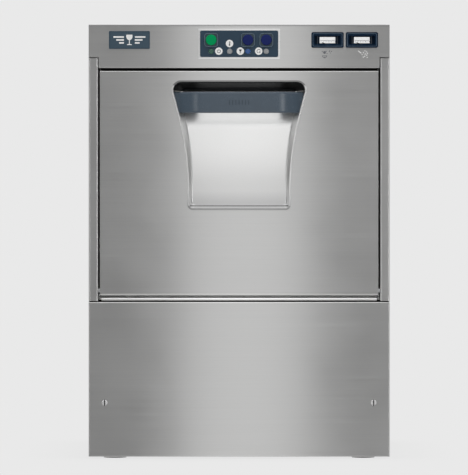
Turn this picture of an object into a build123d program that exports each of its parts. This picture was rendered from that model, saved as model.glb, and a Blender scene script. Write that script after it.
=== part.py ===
"""Undercounter glass washer with a drop-down front door, as an assembly of separate sub-parts.

Millimetres. +Z is up, the front faces -Y, and the origin is on the floor under the middle of the machine.
Each sub-part has its own function and is written to parts/NAME.step.
"""

import os
from math import atan, atan2, cos, hypot, pi, radians, sin, tan

from build123d import *

# ---- Driving dimensions -------------------------------------------------------------------------
WIDTH = 470.0
HALF = WIDTH / 2
FRONT = -267.0  # plane of the fascia, door and service panel
REAR = 250.0  # outer face of the rear panel
BASE = 3.0  # underside of the cabinet with the feet screwed right in
TOP = 678.0
SHEET = 1.2
LID_EDGE = 2.3  # hemmed edge of the top cover
FITTING_REAR = 275.0  # how far back the pipe fittings reach

POST_INNER = 220.0  # inner edge of the narrow posts beside the door
PANEL_HIGH = 244.7  # top of the front service panel
SILL_Z = 249.15  # axis of the rolled sill under the door
SILL_R = 2.65
FASCIA_LOW = 610.0
FASCIA_STEP = 625.4  # where the posts end and the fascia takes the full width
STEP_GAP = 1.3  # open seam over the posts

DOOR_HALF = 217.2
DOOR_LOW = 254.4
DOOR_HIGH = 605.6
DOOR_THICK = 54.0
DOOR_BACK = FRONT + DOOR_THICK
DOOR_SKIN = 1.0
HINGE_INSET = 8.0
HINGE_Y = FRONT + HINGE_INSET
HINGE_Z = DOOR_LOW + HINGE_INSET
PIN_R = 4.0

FRAME_Y = -209.0  # front face of the door surround
FRAME_BACK = FRAME_Y + 1.5
FRAME_HIGH = 613.2
FRAME_CORNER = 12.0
SHELF_Z = SILL_Z - 0.6  # underside of the shelf that ends in the rolled sill
SILL_HALF = 216.0
OPEN_HALF = 206.0
OPEN_LOW = 262.0
OPEN_HIGH = 598.0
CHAMBER_BACK = 210.0

SUMP_FLOOR = 205.0
SUMP_FLOOR_HALF = 150.0
WELL = (138.0, 138.0)
WELL_R = 45.0
WELL_FLOOR = 161.2
STANDPIPE = (143.0, 143.0)
FILTER_Z = 244.0
HEATER_X = (-70.0, -125.0)
HEATER_Z = 222.0
RACK_Z = 296.3  # underside of the glass rack
RACK_SIZE = 400.0
RACK_HIGH = 105.0
RACK_WALL = 4.0
RACK_Y = 1.0

ARM_REACH = 180.0
ARM_FLIP = 850.5  # an upper arm part at height z mirrors a lower one at ARM_FLIP - z
WASH_ARM_LOW, WASH_ARM_HIGH = 259.0, 273.0
RINSE_ARM_Z = 283.0
SPIN_GAP = 0.08  # running clearance of an arm on its column
COLUMN_R = 13.0
NECK_R = 9.0
TIP_R = 6.0

PUMP_Y, PUMP_Z = -34.0, 84.0
BOILER_Y, BOILER_Z, BOILER_R = -155.0, 72.0, 62.0

PLATE_Z = 647.8  # middle of the push-button plate
BUTTON_Z = 653.7
LAMP_Z = 636.0
BUTTON_X = {"power_button": -43.6, "wash_button": 13.7, "rinse_button": 42.5}
LAMP_X = (-43.7, -14.7, 13.7, 42.3)
GAUGE_X = {"wash_pointer": 138.0, "rinse_pointer": 191.7}
GAUGE_Z = 653.8
PIVOT_Z = GAUGE_Z - 6.6
POINTER_REST = 72.0  # degrees to the left of upright, at the cold end of the scale
BADGE_X = -171.3

POCKET_LOW, POCKET_HIGH = 391.0, 588.4
POCKET_HALF_LOW, POCKET_HALF_BEND = 78.1, 92.9
POCKET_STRAIGHT_Z, POCKET_BEND_Z = 420.0, 535.0
POCKET_CHORD = (POCKET_HALF_BEND - POCKET_HALF_LOW) / (POCKET_BEND_Z - POCKET_STRAIGHT_Z)
POCKET_SLOPE = tan(2 * atan(POCKET_CHORD))  # outward run per unit of rise along the upper sides
POCKET_DEPTH = 4.0  # at the bottom, where the floor is upright
POCKET_LEAN = 13.0  # degrees that the floor leans back above POCKET_LEAN_Z
POCKET_LEAN_Z = 458.0
POCKET_DEEP = 43.0  # depth that the walls are drawn to, behind the floor
POCKET_DRAFT = 8.0  # how far the walls close in on the way
POCKET_BEND = 3.0  # inside radius between the pocket's walls and its floor
GRIP_LOW, GRIP_HIGH = 539.8, 572.8
HOOD_LOW = 575.4  # lower edge of the dark lining above the grip
LINING = 1.5

FOOT_PLACES = {
    "foot_front_left": (-195.0, -222.0),
    "foot_front_right": (195.0, -222.0),
    "foot_rear_left": (-195.0, 205.0),
    "foot_rear_right": (195.0, 205.0),
}
PANEL_SCREW_X, PANEL_SCREW_Z = 210.0, 87.2
DRAIN_X, DRAIN_Z = STANDPIPE[0], 62.0
SPIGOT_R, SPIGOT_BORE_R = 15.0, 12.5
INLET_X, INLET_Z = -190.0, 100.0
THREAD_R = 13.2
GLAND_X, GLAND_Z = -100.0, 62.0
WASH_FEED_Z, WASH_FEED_Y, WASH_FEED_HIGH = 160.0, 230.0, 626.0  # riser from the pump to the upper arms
RINSE_FEED_X, RINSE_FEED_LOW, RINSE_FEED_HIGH = -60.0, 188.0, 612.0


# ---- Helpers ------------------------------------------------------------------------------------
def block(x, y, z):
    """A box given as three (low, high) pairs."""
    size = [high - low for low, high in (x, y, z)]
    middle = [(high + low) / 2 for low, high in (x, y, z)]
    return Pos(*middle) * Box(*size)


def rod(start, end, radius):
    """A cylinder from one point to another."""
    run = Vector(*end) - Vector(*start)
    return extrude(Plane(origin=start, z_dir=run) * Circle(radius), amount=run.length)


def tube(start, end, outer, inner):
    return rod(start, end, outer) - rod(start, end, inner)


def pipe(points, bend, outer, inner=None):
    """A round bar or pipe along straight runs joined by tangent bends."""
    path = FilletPolyline(*points, radius=bend)
    section = Circle(outer) if inner is None else Circle(outer) - Circle(inner)
    return sweep(Plane(origin=path @ 0, z_dir=path % 0) * section, path=path)


def facing(y):
    """The upright plane at y that is drawn as seen from the front: local x is X and local y is Z."""
    return Plane(origin=(0, y, 0), x_dir=(1, 0, 0), z_dir=(0, -1, 0))


def front_slab(sketch, front, back):
    """A sketch drawn in front view, given thickness from y = front to y = back."""
    return extrude(facing(back) * sketch, amount=back - front)


def bent_sheet(points, low, high, bend=1.8):
    """Folded sheet metal: a plan-view centre line given height."""
    path = FilletPolyline(*points, radius=bend)
    return Pos(0, 0, low) * extrude(trace(path, SHEET), amount=high - low)


def both_sides(shape):
    return shape + mirror(shape, about=Plane.YZ)


def flipped(shape):
    """A lower wash part turned over to hang from the roof."""
    return Pos(0, 0, ARM_FLIP) * Rot(180, 0, 0) * shape


def edges_along(shape, axis, **near):
    """Straight edges parallel to axis whose middle has the given coordinates."""
    found = shape.edges().filter_by(axis)
    for name, place in near.items():
        found = [e for e in found if abs(getattr(e.center(), name) - place) < 0.01]
    return found


def save(name, shape):
    export_step(shape, f"parts/{name}.step")


# ---- Cabinet ------------------------------------------------------------------------------------
def base_tray():
    front, back, side = FRONT + 18, 246.0, 232.0
    tray = block((-side, side), (front, back), (BASE, BASE + 25))
    tray -= block((-side + SHEET, side - SHEET), (front + SHEET, back - SHEET), (BASE + SHEET, BASE + 26))
    tab = block((203, 217), (front, front + SHEET), (BASE, PANEL_SCREW_Z + 10))
    tray += both_sides(tab)
    for x, y in FOOT_PLACES.values():
        tray += rod((x, y, BASE), (x, y, BASE + 11), 9)
        tray -= rod((x, y, BASE - 1), (x, y, BASE + 12), 5.1)
    screw = rod((PANEL_SCREW_X, front - 1, PANEL_SCREW_Z), (PANEL_SCREW_X, front + 3, PANEL_SCREW_Z), 2.5)
    return tray - both_sides(screw)


def foot(x, y):
    pad = fillet(rod((x, y, 0), (x, y, 2.7), 18).edges().group_by(Axis.Z)[-1], 1.0)
    return pad + rod((x, y, 2.7), (x, y, 48), 5.0)


def left_side_panel():
    skin, rear = -HALF + SHEET / 2, REAR - SHEET - 0.8
    fold_in = -HALF + 15
    low = PANEL_HIGH + 1.5
    post_x, post_back = -POST_INNER - SHEET / 2, FRONT + 20
    front = FRONT + SHEET / 2
    tail = [(fold_in, rear), (skin, rear)]
    panel = bent_sheet(tail + [(skin, front), (post_x, front), (post_x, post_back)], low, FASCIA_STEP)
    panel += bent_sheet(tail + [(skin, FRONT + 16)], BASE, low)
    panel += bent_sheet(tail + [(skin, FRONT + 1.6)], FASCIA_STEP, TOP - LID_EDGE)
    hole = rod((-POST_INNER - 3, HINGE_Y, HINGE_Z), (-POST_INNER + 3, HINGE_Y, HINGE_Z), PIN_R + 0.3)
    return panel - hole


def rear_panel():
    z_low, z_high = BASE, TOP - LID_EDGE
    sheet = Pos(0, (z_low + z_high) / 2) * Rectangle(WIDTH, z_high - z_low)
    for x, z, radius in ((DRAIN_X, DRAIN_Z, 17.5), (INLET_X, INLET_Z, 14.0), (GLAND_X, GLAND_Z, 10.3)):
        sheet -= Pos(x, z) * Circle(radius)
    for x, z in rear_screw_places():
        sheet -= Pos(x, z) * Circle(2.1)
    for x in (-70, 70):
        sheet -= Pos(x, 165) * GridLocations(0, 12, 1, 7) * SlotOverall(90, 5)
        sheet -= Pos(x, 637) * GridLocations(0, 12, 1, 4) * SlotOverall(90, 5)
    return front_slab(sheet, REAR - SHEET, REAR)


def rear_screw_places():
    return [(x, z) for x in (-227, 227) for z in (20, 180, 340, 500, 655)]


def top_cover():
    plate = block((-HALF, HALF), (FRONT, REAR), (TOP - LID_EDGE, TOP))
    plate = fillet(plate.edges().filter_by(Axis.Z), 2.0)
    plate = fillet(plate.edges().group_by(Axis.Z)[-1], 1.0)
    x, y, z = (-232.6, 232.6), (FRONT + 17, 246.0), (TOP - 12, TOP - LID_EDGE)
    inside = block((x[0] + SHEET, x[1] - SHEET), (y[0] + SHEET, y[1] - SHEET), (z[0] - 1, z[1] + 1))
    rim = block(x, y, z) - inside
    return plate + rim


def control_fascia():
    high = TOP - LID_EDGE - 0.2
    neck = POST_INNER - 0.6
    step = FASCIA_STEP + STEP_GAP
    face = Pos(0, (step + high) / 2) * Rectangle(WIDTH, high - step)
    face += Pos(0, (FASCIA_LOW + step) / 2) * Rectangle(2 * neck, step - FASCIA_LOW)
    face -= Pos(0, PLATE_Z) * Rectangle(112, 34)
    for x in GAUGE_X.values():
        face -= Pos(x, GAUGE_Z) * Rectangle(45, 19.6)
    shell = front_slab(face, FRONT, FRONT + SHEET)
    shell += block((-HALF + 1.4, HALF - 1.4), (FRONT, FRONT + 15), (high - SHEET, high))
    shell += block((-neck, neck), (FRONT, FRONT + 28), (FASCIA_LOW, FASCIA_LOW + SHEET))
    return fillet(edges_along(shell, Axis.X, Y=FRONT, Z=FASCIA_LOW), 1.0)


def lower_front_panel():
    x, y, z = (-HALF, HALF), (FRONT, FRONT + 15.5), (BASE, PANEL_HIGH)
    pan = block(x, y, z)
    front_edges = [e for e in pan.edges() if abs(e.center().Y - FRONT) < 0.01]
    pan = fillet(front_edges, 1.6)
    pan -= block((x[0] + SHEET, x[1] - SHEET), (y[0] + SHEET, y[1] + 1), (z[0] + SHEET, z[1] - SHEET))
    hole = rod((PANEL_SCREW_X, FRONT - 1, PANEL_SCREW_Z), (PANEL_SCREW_X, FRONT + 3, PANEL_SCREW_Z), 2.6)
    return pan - both_sides(hole)


def slotted_screw(x, z):
    """Cheese-head screw driven from the front, its slot upright."""
    head = rod((x, FRONT - 2.4, z), (x, FRONT, z), 4.7)
    head = fillet(head.edges().group_by(Axis.Y)[0], 1.2)
    head -= block((x - 0.6, x + 0.6), (FRONT - 3, FRONT - 1.1), (z - 6, z + 6))
    return head + rod((x, FRONT, z), (x, FRONT + 24, z), 2.4)


def rear_screw(x, z):
    head = rod((x, REAR, z), (x, REAR + 2, z), 4.0)
    head = fillet(head.edges().group_by(Axis.Y)[-1], 1.0)
    head -= block((x - 0.5, x + 0.5), (REAR + 1, REAR + 3), (z - 2.4, z + 2.4))
    head -= block((x - 2.4, x + 2.4), (REAR + 1, REAR + 3), (z - 0.5, z + 0.5))
    return head + rod((x, REAR - 1.1, z), (x, REAR, z), 2.0)


def panel_screws():
    screws = [slotted_screw(x, PANEL_SCREW_Z) for x in (-PANEL_SCREW_X, PANEL_SCREW_X)]
    screws += [rear_screw(x, z) for x, z in rear_screw_places()]
    return Compound(screws)


# ---- Wash chamber -------------------------------------------------------------------------------
def chamber_box(half, back, high, front, low, corner):
    box = block((-half, half), (front, back), (low, high))
    keep = [e for e in box.edges().filter_by(Axis.Z) if e.center().Y > 0]
    keep += [e for e in box.edges() if e.center().Z > high - 0.01 and e.center().Y > front + 0.01]
    return fillet(keep, corner)


def chamber_shell():
    half, back, high, corner = OPEN_HALF, CHAMBER_BACK, OPEN_HIGH, FRAME_CORNER
    outer = chamber_box(half + SHEET, back + SHEET, high + SHEET, FRAME_BACK, OPEN_LOW, corner + SHEET)
    inner = chamber_box(half, back, high, FRAME_BACK - 1, OPEN_LOW - 1, corner)
    return outer - inner - rod((0, 0, OPEN_HIGH - 5), (0, 0, OPEN_HIGH + 5), COLUMN_R + 0.2)


def front_frame():
    """Door surround welded from bars and gussets, with cheeks, a head flange and the rolled sill."""
    outer = POST_INNER + SHEET
    plate = (FRAME_Y, FRAME_BACK)
    folded = FRONT + 20.3  # where the cheeks start, behind the folds of the posts
    middle = Pos(0, (OPEN_LOW + OPEN_HIGH) / 2)
    width, height = 2 * OPEN_HALF, OPEN_HIGH - OPEN_LOW
    corners = middle * Rectangle(width, height) - middle * RectangleRounded(width, height, FRAME_CORNER)
    shelf = block((-SILL_HALF, SILL_HALF), (FRONT + 5.5, FRAME_Y), (SHELF_Z, SHELF_Z + SHEET))
    shelf += block((-POST_INNER, POST_INNER), (folded, FRAME_Y), (SHELF_Z, SHELF_Z + SHEET))
    bead = rod((-SILL_HALF, FRONT + 5.5, SILL_Z), (SILL_HALF, FRONT + 5.5, SILL_Z), SILL_R)
    pieces = [
        both_sides(block((OPEN_HALF, outer), plate, (SHELF_Z, FRAME_HIGH))),
        block((-OPEN_HALF, OPEN_HALF), plate, (OPEN_HIGH, FRAME_HIGH)),
        block((-OPEN_HALF, OPEN_HALF), plate, (SHELF_Z, OPEN_LOW)),
        front_slab(corners, *plate),
        both_sides(block((POST_INNER, outer), (folded, FRAME_Y), (SHELF_Z, FRAME_HIGH))),
        block((-POST_INNER, POST_INNER), (FRONT + 29, FRAME_Y), (FRAME_HIGH - SHEET, FRAME_HIGH)),
        shelf + fillet(bead.edges(), 1.6),
    ]
    return Compound([solid for piece in pieces for solid in piece.solids()])


def door_gasket():
    middle = Pos(0, (OPEN_LOW + OPEN_HIGH) / 2)
    ring = middle * RectangleRounded(430, OPEN_HIGH - OPEN_LOW + 14.4, 16)
    ring -= middle * RectangleRounded(414, OPEN_HIGH - OPEN_LOW + 1.4, 11)
    seal = front_slab(ring, FRAME_Y - 3.5, FRAME_Y)
    return fillet(seal.faces().sort_by(Axis.Y)[0].edges(), 1.5)


def sump_tray(grow, top, floor):
    """Tapered tank body, from the chamber's footprint down to its floor."""
    middle_y = (FRAME_BACK + 1.5 + CHAMBER_BACK) / 2
    length = CHAMBER_BACK - FRAME_BACK - 1.5
    upper = Plane((0, middle_y, top)) * RectangleRounded(2 * OPEN_HALF + 2 * grow, length + 2 * grow, 13)
    side = 2 * (SUMP_FLOOR_HALF + grow)
    return loft([upper.face(), (Plane((0, 0, floor)) * RectangleRounded(side, side, 25)).face()])


def wash_sump():
    x, y = WELL
    outer = sump_tray(SHEET, OPEN_LOW, SUMP_FLOOR - SHEET)
    outer += rod((x, y, WELL_FLOOR - SHEET), (x, y, 245), WELL_R + SHEET)
    outer += rod((x, y - WELL_R + 3, 183), (x, y - WELL_R - 15, 183), 16)
    outer += block((-213, 213), (FRAME_BACK, 216), (OPEN_LOW - SHEET, OPEN_LOW))
    inner = sump_tray(0, OPEN_LOW, SUMP_FLOOR)
    inner += rod((x, y, WELL_FLOOR), (x, y, 245), WELL_R)
    inner += rod((x, y - WELL_R + 5, 183), (x, y - WELL_R - 16, 183), 14)
    inner += rod((0, 0, SUMP_FLOOR - 3), (0, 0, SUMP_FLOOR + 3), COLUMN_R + 0.2)
    inner += rod((*STANDPIPE, WELL_FLOOR - 3), (*STANDPIPE, WELL_FLOOR + 3), 12.4)
    for heater_x in HEATER_X:
        inner += rod((heater_x, 140, HEATER_Z), (heater_x, 200, HEATER_Z), 4.3)
    return outer - inner


def tank_heater():
    near, far = HEATER_X
    turn = [(near, -120, HEATER_Z), (far, -120, HEATER_Z)]
    loop = pipe([(near, 186, HEATER_Z), *turn, (far, 186, HEATER_Z)], 24, 4)
    flange = block((far - 15, near + 15), (186, 190), (HEATER_Z - 12, HEATER_Z + 12))
    pins = [rod((x, 190, HEATER_Z), (x, 204, HEATER_Z), 3) for x in HEATER_X]
    return loop + flange + pins


def filter_half(centre, passages):
    plate = Pos(centre, 2) * RectangleRounded(185, 372, 18)
    for x, y, radius in passages:
        plate -= Pos(x, y) * Circle(radius)
    side = 1 if centre > 0 else -1
    slots = []
    for column in range(8):
        for row in range(16):
            x, y = side * (22 + 20 * column), -152 + 20 * row
            if all(hypot(x - px, y - py) > radius + 12 for px, py, radius in passages):
                slots.append(Pos(x, y) * SlotOverall(14, 4))
    return Pos(0, 0, FILTER_Z) * extrude(plate - slots, amount=SHEET)


def filter_plates():
    spindle = (0, 0, 21)
    right = filter_half(93.5, [spindle, (*STANDPIPE, 22)])
    left = filter_half(-93.5, [spindle])
    return Compound([*right.solids(), *left.solids()])


def suction_filter():
    x, y = WELL
    basket = tube((x, y, WELL_FLOOR + 2), (x, y, FILTER_Z - 2), 38, 36.6)
    basket += tube((x, y, FILTER_Z - 3.5), (x, y, FILTER_Z - 2), 43, 36.6)
    holes = []
    for ring in range(5):
        for step in range(12):
            turn = Pos(x, y, WELL_FLOOR + 14 + 13 * ring) * Rot(0, 0, 30 * step + 15 * (ring % 2))
            holes.append(turn * rod((30, 0, 0), (44, 0, 0), 3))
    return basket - holes


def standpipe():
    x, y = STANDPIPE
    pipe_wall = tube((x, y, 158), (x, y, 250), 12, 10.5)
    for turn in (0, 90):
        window = Pos(x, y, 240) * Rot(0, 0, turn) * Box(30, 8, 9)
        pipe_wall -= window
    pipe_wall += tube((x, y, WELL_FLOOR + 0.3), (x, y, WELL_FLOOR + 4), 16, 10.5)
    knob = fillet(rod((x, y, 249), (x, y, 256), 16).edges(), 2)
    return pipe_wall + knob


def rack_rails():
    """Pair of folded channels along the chamber's walls."""
    inner, gauge, run = 188.0, 1.5, (-200, 196)
    side = block((inner, OPEN_HALF), run, (RACK_Z - 2, RACK_Z))
    side += block((OPEN_HALF - gauge, OPEN_HALF), run, (RACK_Z - 16, RACK_Z))
    side += block((inner, inner + gauge), run, (RACK_Z - 8, RACK_Z))
    return both_sides(side)


def glass_rack():
    """Snap-together basket: an open grid floor with a windowed wall clipped on along each side."""
    half, floor = RACK_SIZE / 2, 4.0
    grid = RectangleRounded(RACK_SIZE, RACK_SIZE, 3) - GridLocations(43, 43, 9, 9) * Rectangle(37, 37)
    pieces = [extrude(grid, amount=floor)]
    panel = Pos(0, (floor + RACK_HIGH) / 2) * Rectangle(RACK_SIZE - 2 * RACK_WALL, RACK_HIGH - floor)
    panel -= Pos(0, 57) * GridLocations(54, 40, 7, 2) * RectangleRounded(44, 30, 5)
    post = block((half - RACK_WALL, half), (-half, -half + RACK_WALL), (floor, RACK_HIGH))
    side = front_slab(panel, -half, -half + RACK_WALL)
    side += fillet(edges_along(post, Axis.Z, X=half, Y=-half), RACK_WALL - 1)
    pieces += [Rot(0, 0, 90 * turn) * side for turn in range(4)]
    return Compound([Pos(0, RACK_Y, RACK_Z) * solid for piece in pieces for solid in piece.solids()])


# ---- Spray arms ---------------------------------------------------------------------------------
def lower_column():
    column = rod((0, 0, 203.6), (0, 0, 276.5), COLUMN_R)
    column += rod((0, 0, 253), (0, 0, 256.7), 18)
    column += rod((0, 0, 276.5), (0, 0, 290), NECK_R)
    return column + rod((0, 0, 290), (0, 0, 295), TIP_R)


def lower_spindle():
    foot_block = rod((0, 0, 176), (0, 0, 203.6), 20)
    return lower_column() + foot_block + rod((-18, 0, 188), (-28, 0, 188), 6)


def upper_spindle():
    column = flipped(lower_column() - block((-30, 30), (-30, 30), (200, 251.3)))
    column += rod((0, 0, 590), (0, 0, OPEN_HIGH + 1.4), COLUMN_R)
    column += rod((0, 0, OPEN_HIGH + 1.4), (0, 0, 642), 22)
    return column + rod((-20, 0, 612), (-30, 0, 612), 6)


def arm_nut():
    nut = tube((0, 0, 290.2), (0, 0, 295.7), 11, TIP_R + 0.1)
    for step in range(10):
        way = 2 * pi * step / 10
        nut -= rod((12 * cos(way), 12 * sin(way), 289), (12 * cos(way), 12 * sin(way), 297), 2)
    return nut


def lower_wash_arm():
    low, high = WASH_ARM_LOW, WASH_ARM_HIGH
    blade = Pos(0, 0, low) * extrude(SlotOverall(2 * ARM_REACH, 34), amount=high - low)
    blade = fillet(blade.edges().group_by(Axis.Z)[0] + blade.edges().group_by(Axis.Z)[-1], 4)
    hollow = Pos(0, 0, low + 1.5) * extrude(SlotOverall(2 * ARM_REACH - 5, 27), amount=high - low - 3)
    hub = rod((0, 0, low - 2), (0, 0, high + 2.5), 22)
    arm = blade + hub - (hollow - rod((0, 0, 250), (0, 0, 280), 18))
    for place in (40, 66, 92, 118, 144, 165):
        for side in (-1, 1):
            jet = Pos(side * place, side * 4, high) * Rot(0, 0, 20) * Box(2.2, 12, 8)
            arm -= jet
    return arm - rod((0, 0, 250), (0, 0, 280), COLUMN_R + SPIN_GAP)


def lower_rinse_arm():
    z = RINSE_ARM_Z
    bar = rod((0, -ARM_REACH + 6, z), (0, ARM_REACH - 6, z), 5.5)
    bar = fillet(bar.edges(), 2.5) + rod((0, 0, 277), (0, 0, 289.5), 15)
    for place in (36, 76, 116, 156):
        for side in (-1, 1):
            bar += Pos(0, side * place, z + 6.6) * Cone(3.4, 1.8, 4)
    return bar - rod((0, 0, 270), (0, 0, 292), NECK_R + SPIN_GAP)


def wash_manifold():
    low, back, high = WASH_FEED_Z, WASH_FEED_Y, WASH_FEED_HIGH
    rise = [(0, 0, low), (0, back, low), (0, back, high), (0, 22.3, high)]
    outer = rod((0, 0, 146.2), (0, 0, 175.8), 14) + pipe(rise, 30, 12)
    inner = rod((0, 0, 146), (0, 0, 176), 12) + pipe(rise, 30, 10.5)
    return outer - inner


# ---- Machine compartment ------------------------------------------------------------------------
def along_x(x0, x1, radius, y=PUMP_Y, z=PUMP_Z):
    return rod((x0, y, z), (x1, y, z), radius)


def pump_volute():
    casing = along_x(-24, 24, 48) + rod((0, 0, PUMP_Z), (0, 0, 146), 14) + along_x(20, 46, 16)
    casing -= along_x(-20, 20, 44) + rod((0, 0, PUMP_Z), (0, 0, 147), 12)
    return casing - along_x(10, 50, 14) - along_x(-30, -10, 6.4)


def pump_motor():
    body = along_x(-130, -25, 42)
    for step in range(18):
        fin = Pos(-77, PUMP_Y, PUMP_Z) * Rot(20 * step, 0, 0) * (Pos(0, 0, 42.5) * Box(90, 2, 6))
        body += fin
    body += along_x(-160, -128, 45)
    body += block((-115, -45), (PUMP_Y - 26, PUMP_Y + 26), (BASE + SHEET, PUMP_Z - 20))
    body -= along_x(-120, -40, 31) + along_x(-161, -20, 6.4) + along_x(-158, -132, 43)
    for step in range(8):
        way = radians(45 * step)
        y, z = PUMP_Y + 26 * cos(way), PUMP_Z + 26 * sin(way)
        body -= rod((-162, y, z), (-156, y, z), 7)
    return body


def pump_rotor():
    shaft = along_x(-150, 4, 6) + along_x(-116, -44, 30) + along_x(-6, 2, 34)
    for step in range(6):
        turn = Pos(0, PUMP_Y, PUMP_Z) * Rot(60 * step, 0, 0)
        shaft += turn * (Pos(6, 0, 22) * Box(9, 3, 24))
        shaft += turn * (Pos(-144, 0, 22) * Rot(0, 0, 25) * Box(2, 14, 34))
    return shaft


def pump_suction_hose():
    x, y = WELL[0], WELL[1] - WELL_R - 15.4
    return pipe([(x, y, 183), (x, PUMP_Y, 183), (x, PUMP_Y, PUMP_Z), (46.4, PUMP_Y, PUMP_Z)], 40, 17, 15)


def boiler_axis(x0, x1, radius, dy=0.0, dz=0.0):
    return rod((x0, BOILER_Y + dy, BOILER_Z + dz), (x1, BOILER_Y + dy, BOILER_Z + dz), radius)


def rinse_boiler():
    shell = fillet(boiler_axis(-105, 105, BOILER_R).edges(), 12)
    shell -= fillet(boiler_axis(-103.5, 103.5, BOILER_R - 1.5).edges(), 10.5)
    shell += rod((-60, BOILER_Y, BOILER_Z + 60), (-60, BOILER_Y, 146), 8)
    shell += boiler_axis(-104, -118, 7, dz=-32)  # inlet stub, low on the left end
    shell -= boiler_axis(100, 106, 30)
    for x in (-70, 70):
        leg = block((x - 8, x + 8), (BOILER_Y - 30, BOILER_Y + 30), (BASE + SHEET, BOILER_Z - 40))
        shell += leg - boiler_axis(x - 9, x + 9, BOILER_R - 0.7)
    return shell


def boiler_element():
    flange = boiler_axis(105.2, 111, 38) + boiler_axis(101, 105.2, 29.5) + boiler_axis(111, 117, 12)
    for dz in (-12, 12):
        z = BOILER_Z + dz
        near, far = BOILER_Y - 16, BOILER_Y + 16
        flange += pipe([(102, near, z), (-78, near, z), (-78, far, z), (102, far, z)], 15, 4)
    return flange


def rinse_hoses():
    x, low, high = RINSE_FEED_X, RINSE_FEED_LOW, RINSE_FEED_HIGH
    rise = [(x, BOILER_Y, 146.3), (x, BOILER_Y, low), (x, WASH_FEED_Y, low)]
    rise += [(x, WASH_FEED_Y, high), (x, 0, high), (-30.3, 0, high)]
    rinse = pipe(rise, 25, 8) + rod((x, 0, low), (-28.3, 0, low), 6)
    start, end = (INLET_X, 198, INLET_Z), (-118.3, BOILER_Y, BOILER_Z - 32)
    fill = pipe([start, (INLET_X, BOILER_Y, INLET_Z), (INLET_X, BOILER_Y, BOILER_Z - 32), end], 25, 7)
    return Compound([*rinse.solids(), *fill.solids()])


def inlet_valve():
    """Solenoid valve with its coil, a flange behind the rear panel and a hollow thread."""
    x, z = INLET_X, INLET_Z
    body = fillet(block((x - 18, x + 18), (200, 244), (z - 18, z + 18)).edges().filter_by(Axis.Y), 5)
    coil = block((x - 15, x + 15), (205, 237), (z + 18, z + 50))
    spigot = rod((x, 198.3, z), (x, 200, z), 7)
    neck = rod((x, 244, z), (x, REAR + 0.2, z), THREAD_R)
    flange = rod((x, REAR + 0.2, z), (x, REAR + 3, z), 18)
    thread = rod((x, REAR + 3, z), (x, FITTING_REAR, z), THREAD_R)
    bore = rod((x, 225, z), (x, FITTING_REAR + 1, z), 9)
    pieces = [body + coil + spigot, neck, flange, thread]
    return Compound([solid for piece in pieces for solid in (piece - bore).solids()])


def drain_hose():
    """Bent hose from the standpipe's seat to a flanged spigot behind the rear panel."""
    start = (*STANDPIPE, WELL_FLOOR - SHEET - 0.2)
    runs = [start, (*STANDPIPE, DRAIN_Z), (DRAIN_X, REAR + 0.2, DRAIN_Z)]
    hose = pipe(runs, 40, 17, 13.5)
    flange = tube((DRAIN_X, REAR + 0.2, DRAIN_Z), (DRAIN_X, REAR + 3, DRAIN_Z), 22, SPIGOT_BORE_R)
    spigot = tube((DRAIN_X, REAR + 3, DRAIN_Z), (DRAIN_X, FITTING_REAR, DRAIN_Z), SPIGOT_R, SPIGOT_BORE_R)
    return Compound([*hose.solids(), *flange.solids(), *spigot.solids()])


def cable_gland():
    def ring(y0, y1, radius):
        return rod((GLAND_X, y0, GLAND_Z), (GLAND_X, y1, GLAND_Z), radius)

    hexagon = extrude(facing(REAR + 6) * (Pos(GLAND_X, GLAND_Z) * RegularPolygon(14, 6)), amount=5.8)
    body = hexagon + fillet(ring(REAR + 6, REAR + 18, 12).edges().group_by(Axis.Y)[-1], 3)
    locknut = extrude(facing(REAR - 2) * (Pos(GLAND_X, GLAND_Z) * RegularPolygon(16, 6)), amount=5)
    body += ring(REAR - 14, REAR + 1, 10) + locknut
    return body - ring(REAR - 15, REAR + 19, 5.5)


def control_board():
    deck = 612.0
    board = block((60, 210), (-200, -105), (deck, deck + 1.6))
    for x in (66, 204):
        for y in (-194, -111):
            board += rod((x, y, OPEN_HIGH + SHEET + 0.1), (x, y, deck), 3)
    parts = [board]
    for step in range(4):
        x = 72 + 22 * step
        parts.append(block((x, x + 17), (-140, -112), (deck + 1.6, deck + 17)))
    parts.append(block((150, 200), (-190, -150), (deck + 1.6, deck + 34)))
    parts.append(block((66, 136), (-197, -183), (deck + 1.6, deck + 14)))
    parts.append(rod((176, -125, deck + 1.6), (176, -125, deck + 24), 9))
    return Compound([s for p in parts for s in p.solids()])


def thermostats():
    bodies = []
    for z in (62, 108):
        case = fillet(block((194, 233.8), (-128, -92), (z, z + 32)).edges().filter_by(Axis.Y), 3)
        bodies += (case + rod((214, -140, z + 16), (214, -128, z + 16), 3)).solids()
    return Compound(bodies)


def rinse_aid_dispenser():
    body = fillet(block((186, 233.8), (-212, -160), (60, 140)).edges().filter_by(Axis.Z), 6)
    body += rod((210, -218, 100), (210, -212, 100), 12)
    for x in (198, 222):
        body += rod((x, -186, 140), (x, -186, 152), 3.5)
    return body


# ---- Controls -----------------------------------------------------------------------------------
def control_plate():
    plate = Pos(0, PLATE_Z) * RectangleRounded(122, 41.4, 3)
    for x in BUTTON_X.values():
        plate -= Pos(x, BUTTON_Z) * Circle(10.3)
    for x in LAMP_X:
        plate -= Pos(x, LAMP_Z) * Circle(4.4)
    slab = front_slab(plate, FRONT - 1.6, FRONT)
    outline = [e for e in slab.faces().sort_by(Axis.Y)[0].outer_wire().edges()]
    return fillet(outline, 0.5)


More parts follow.
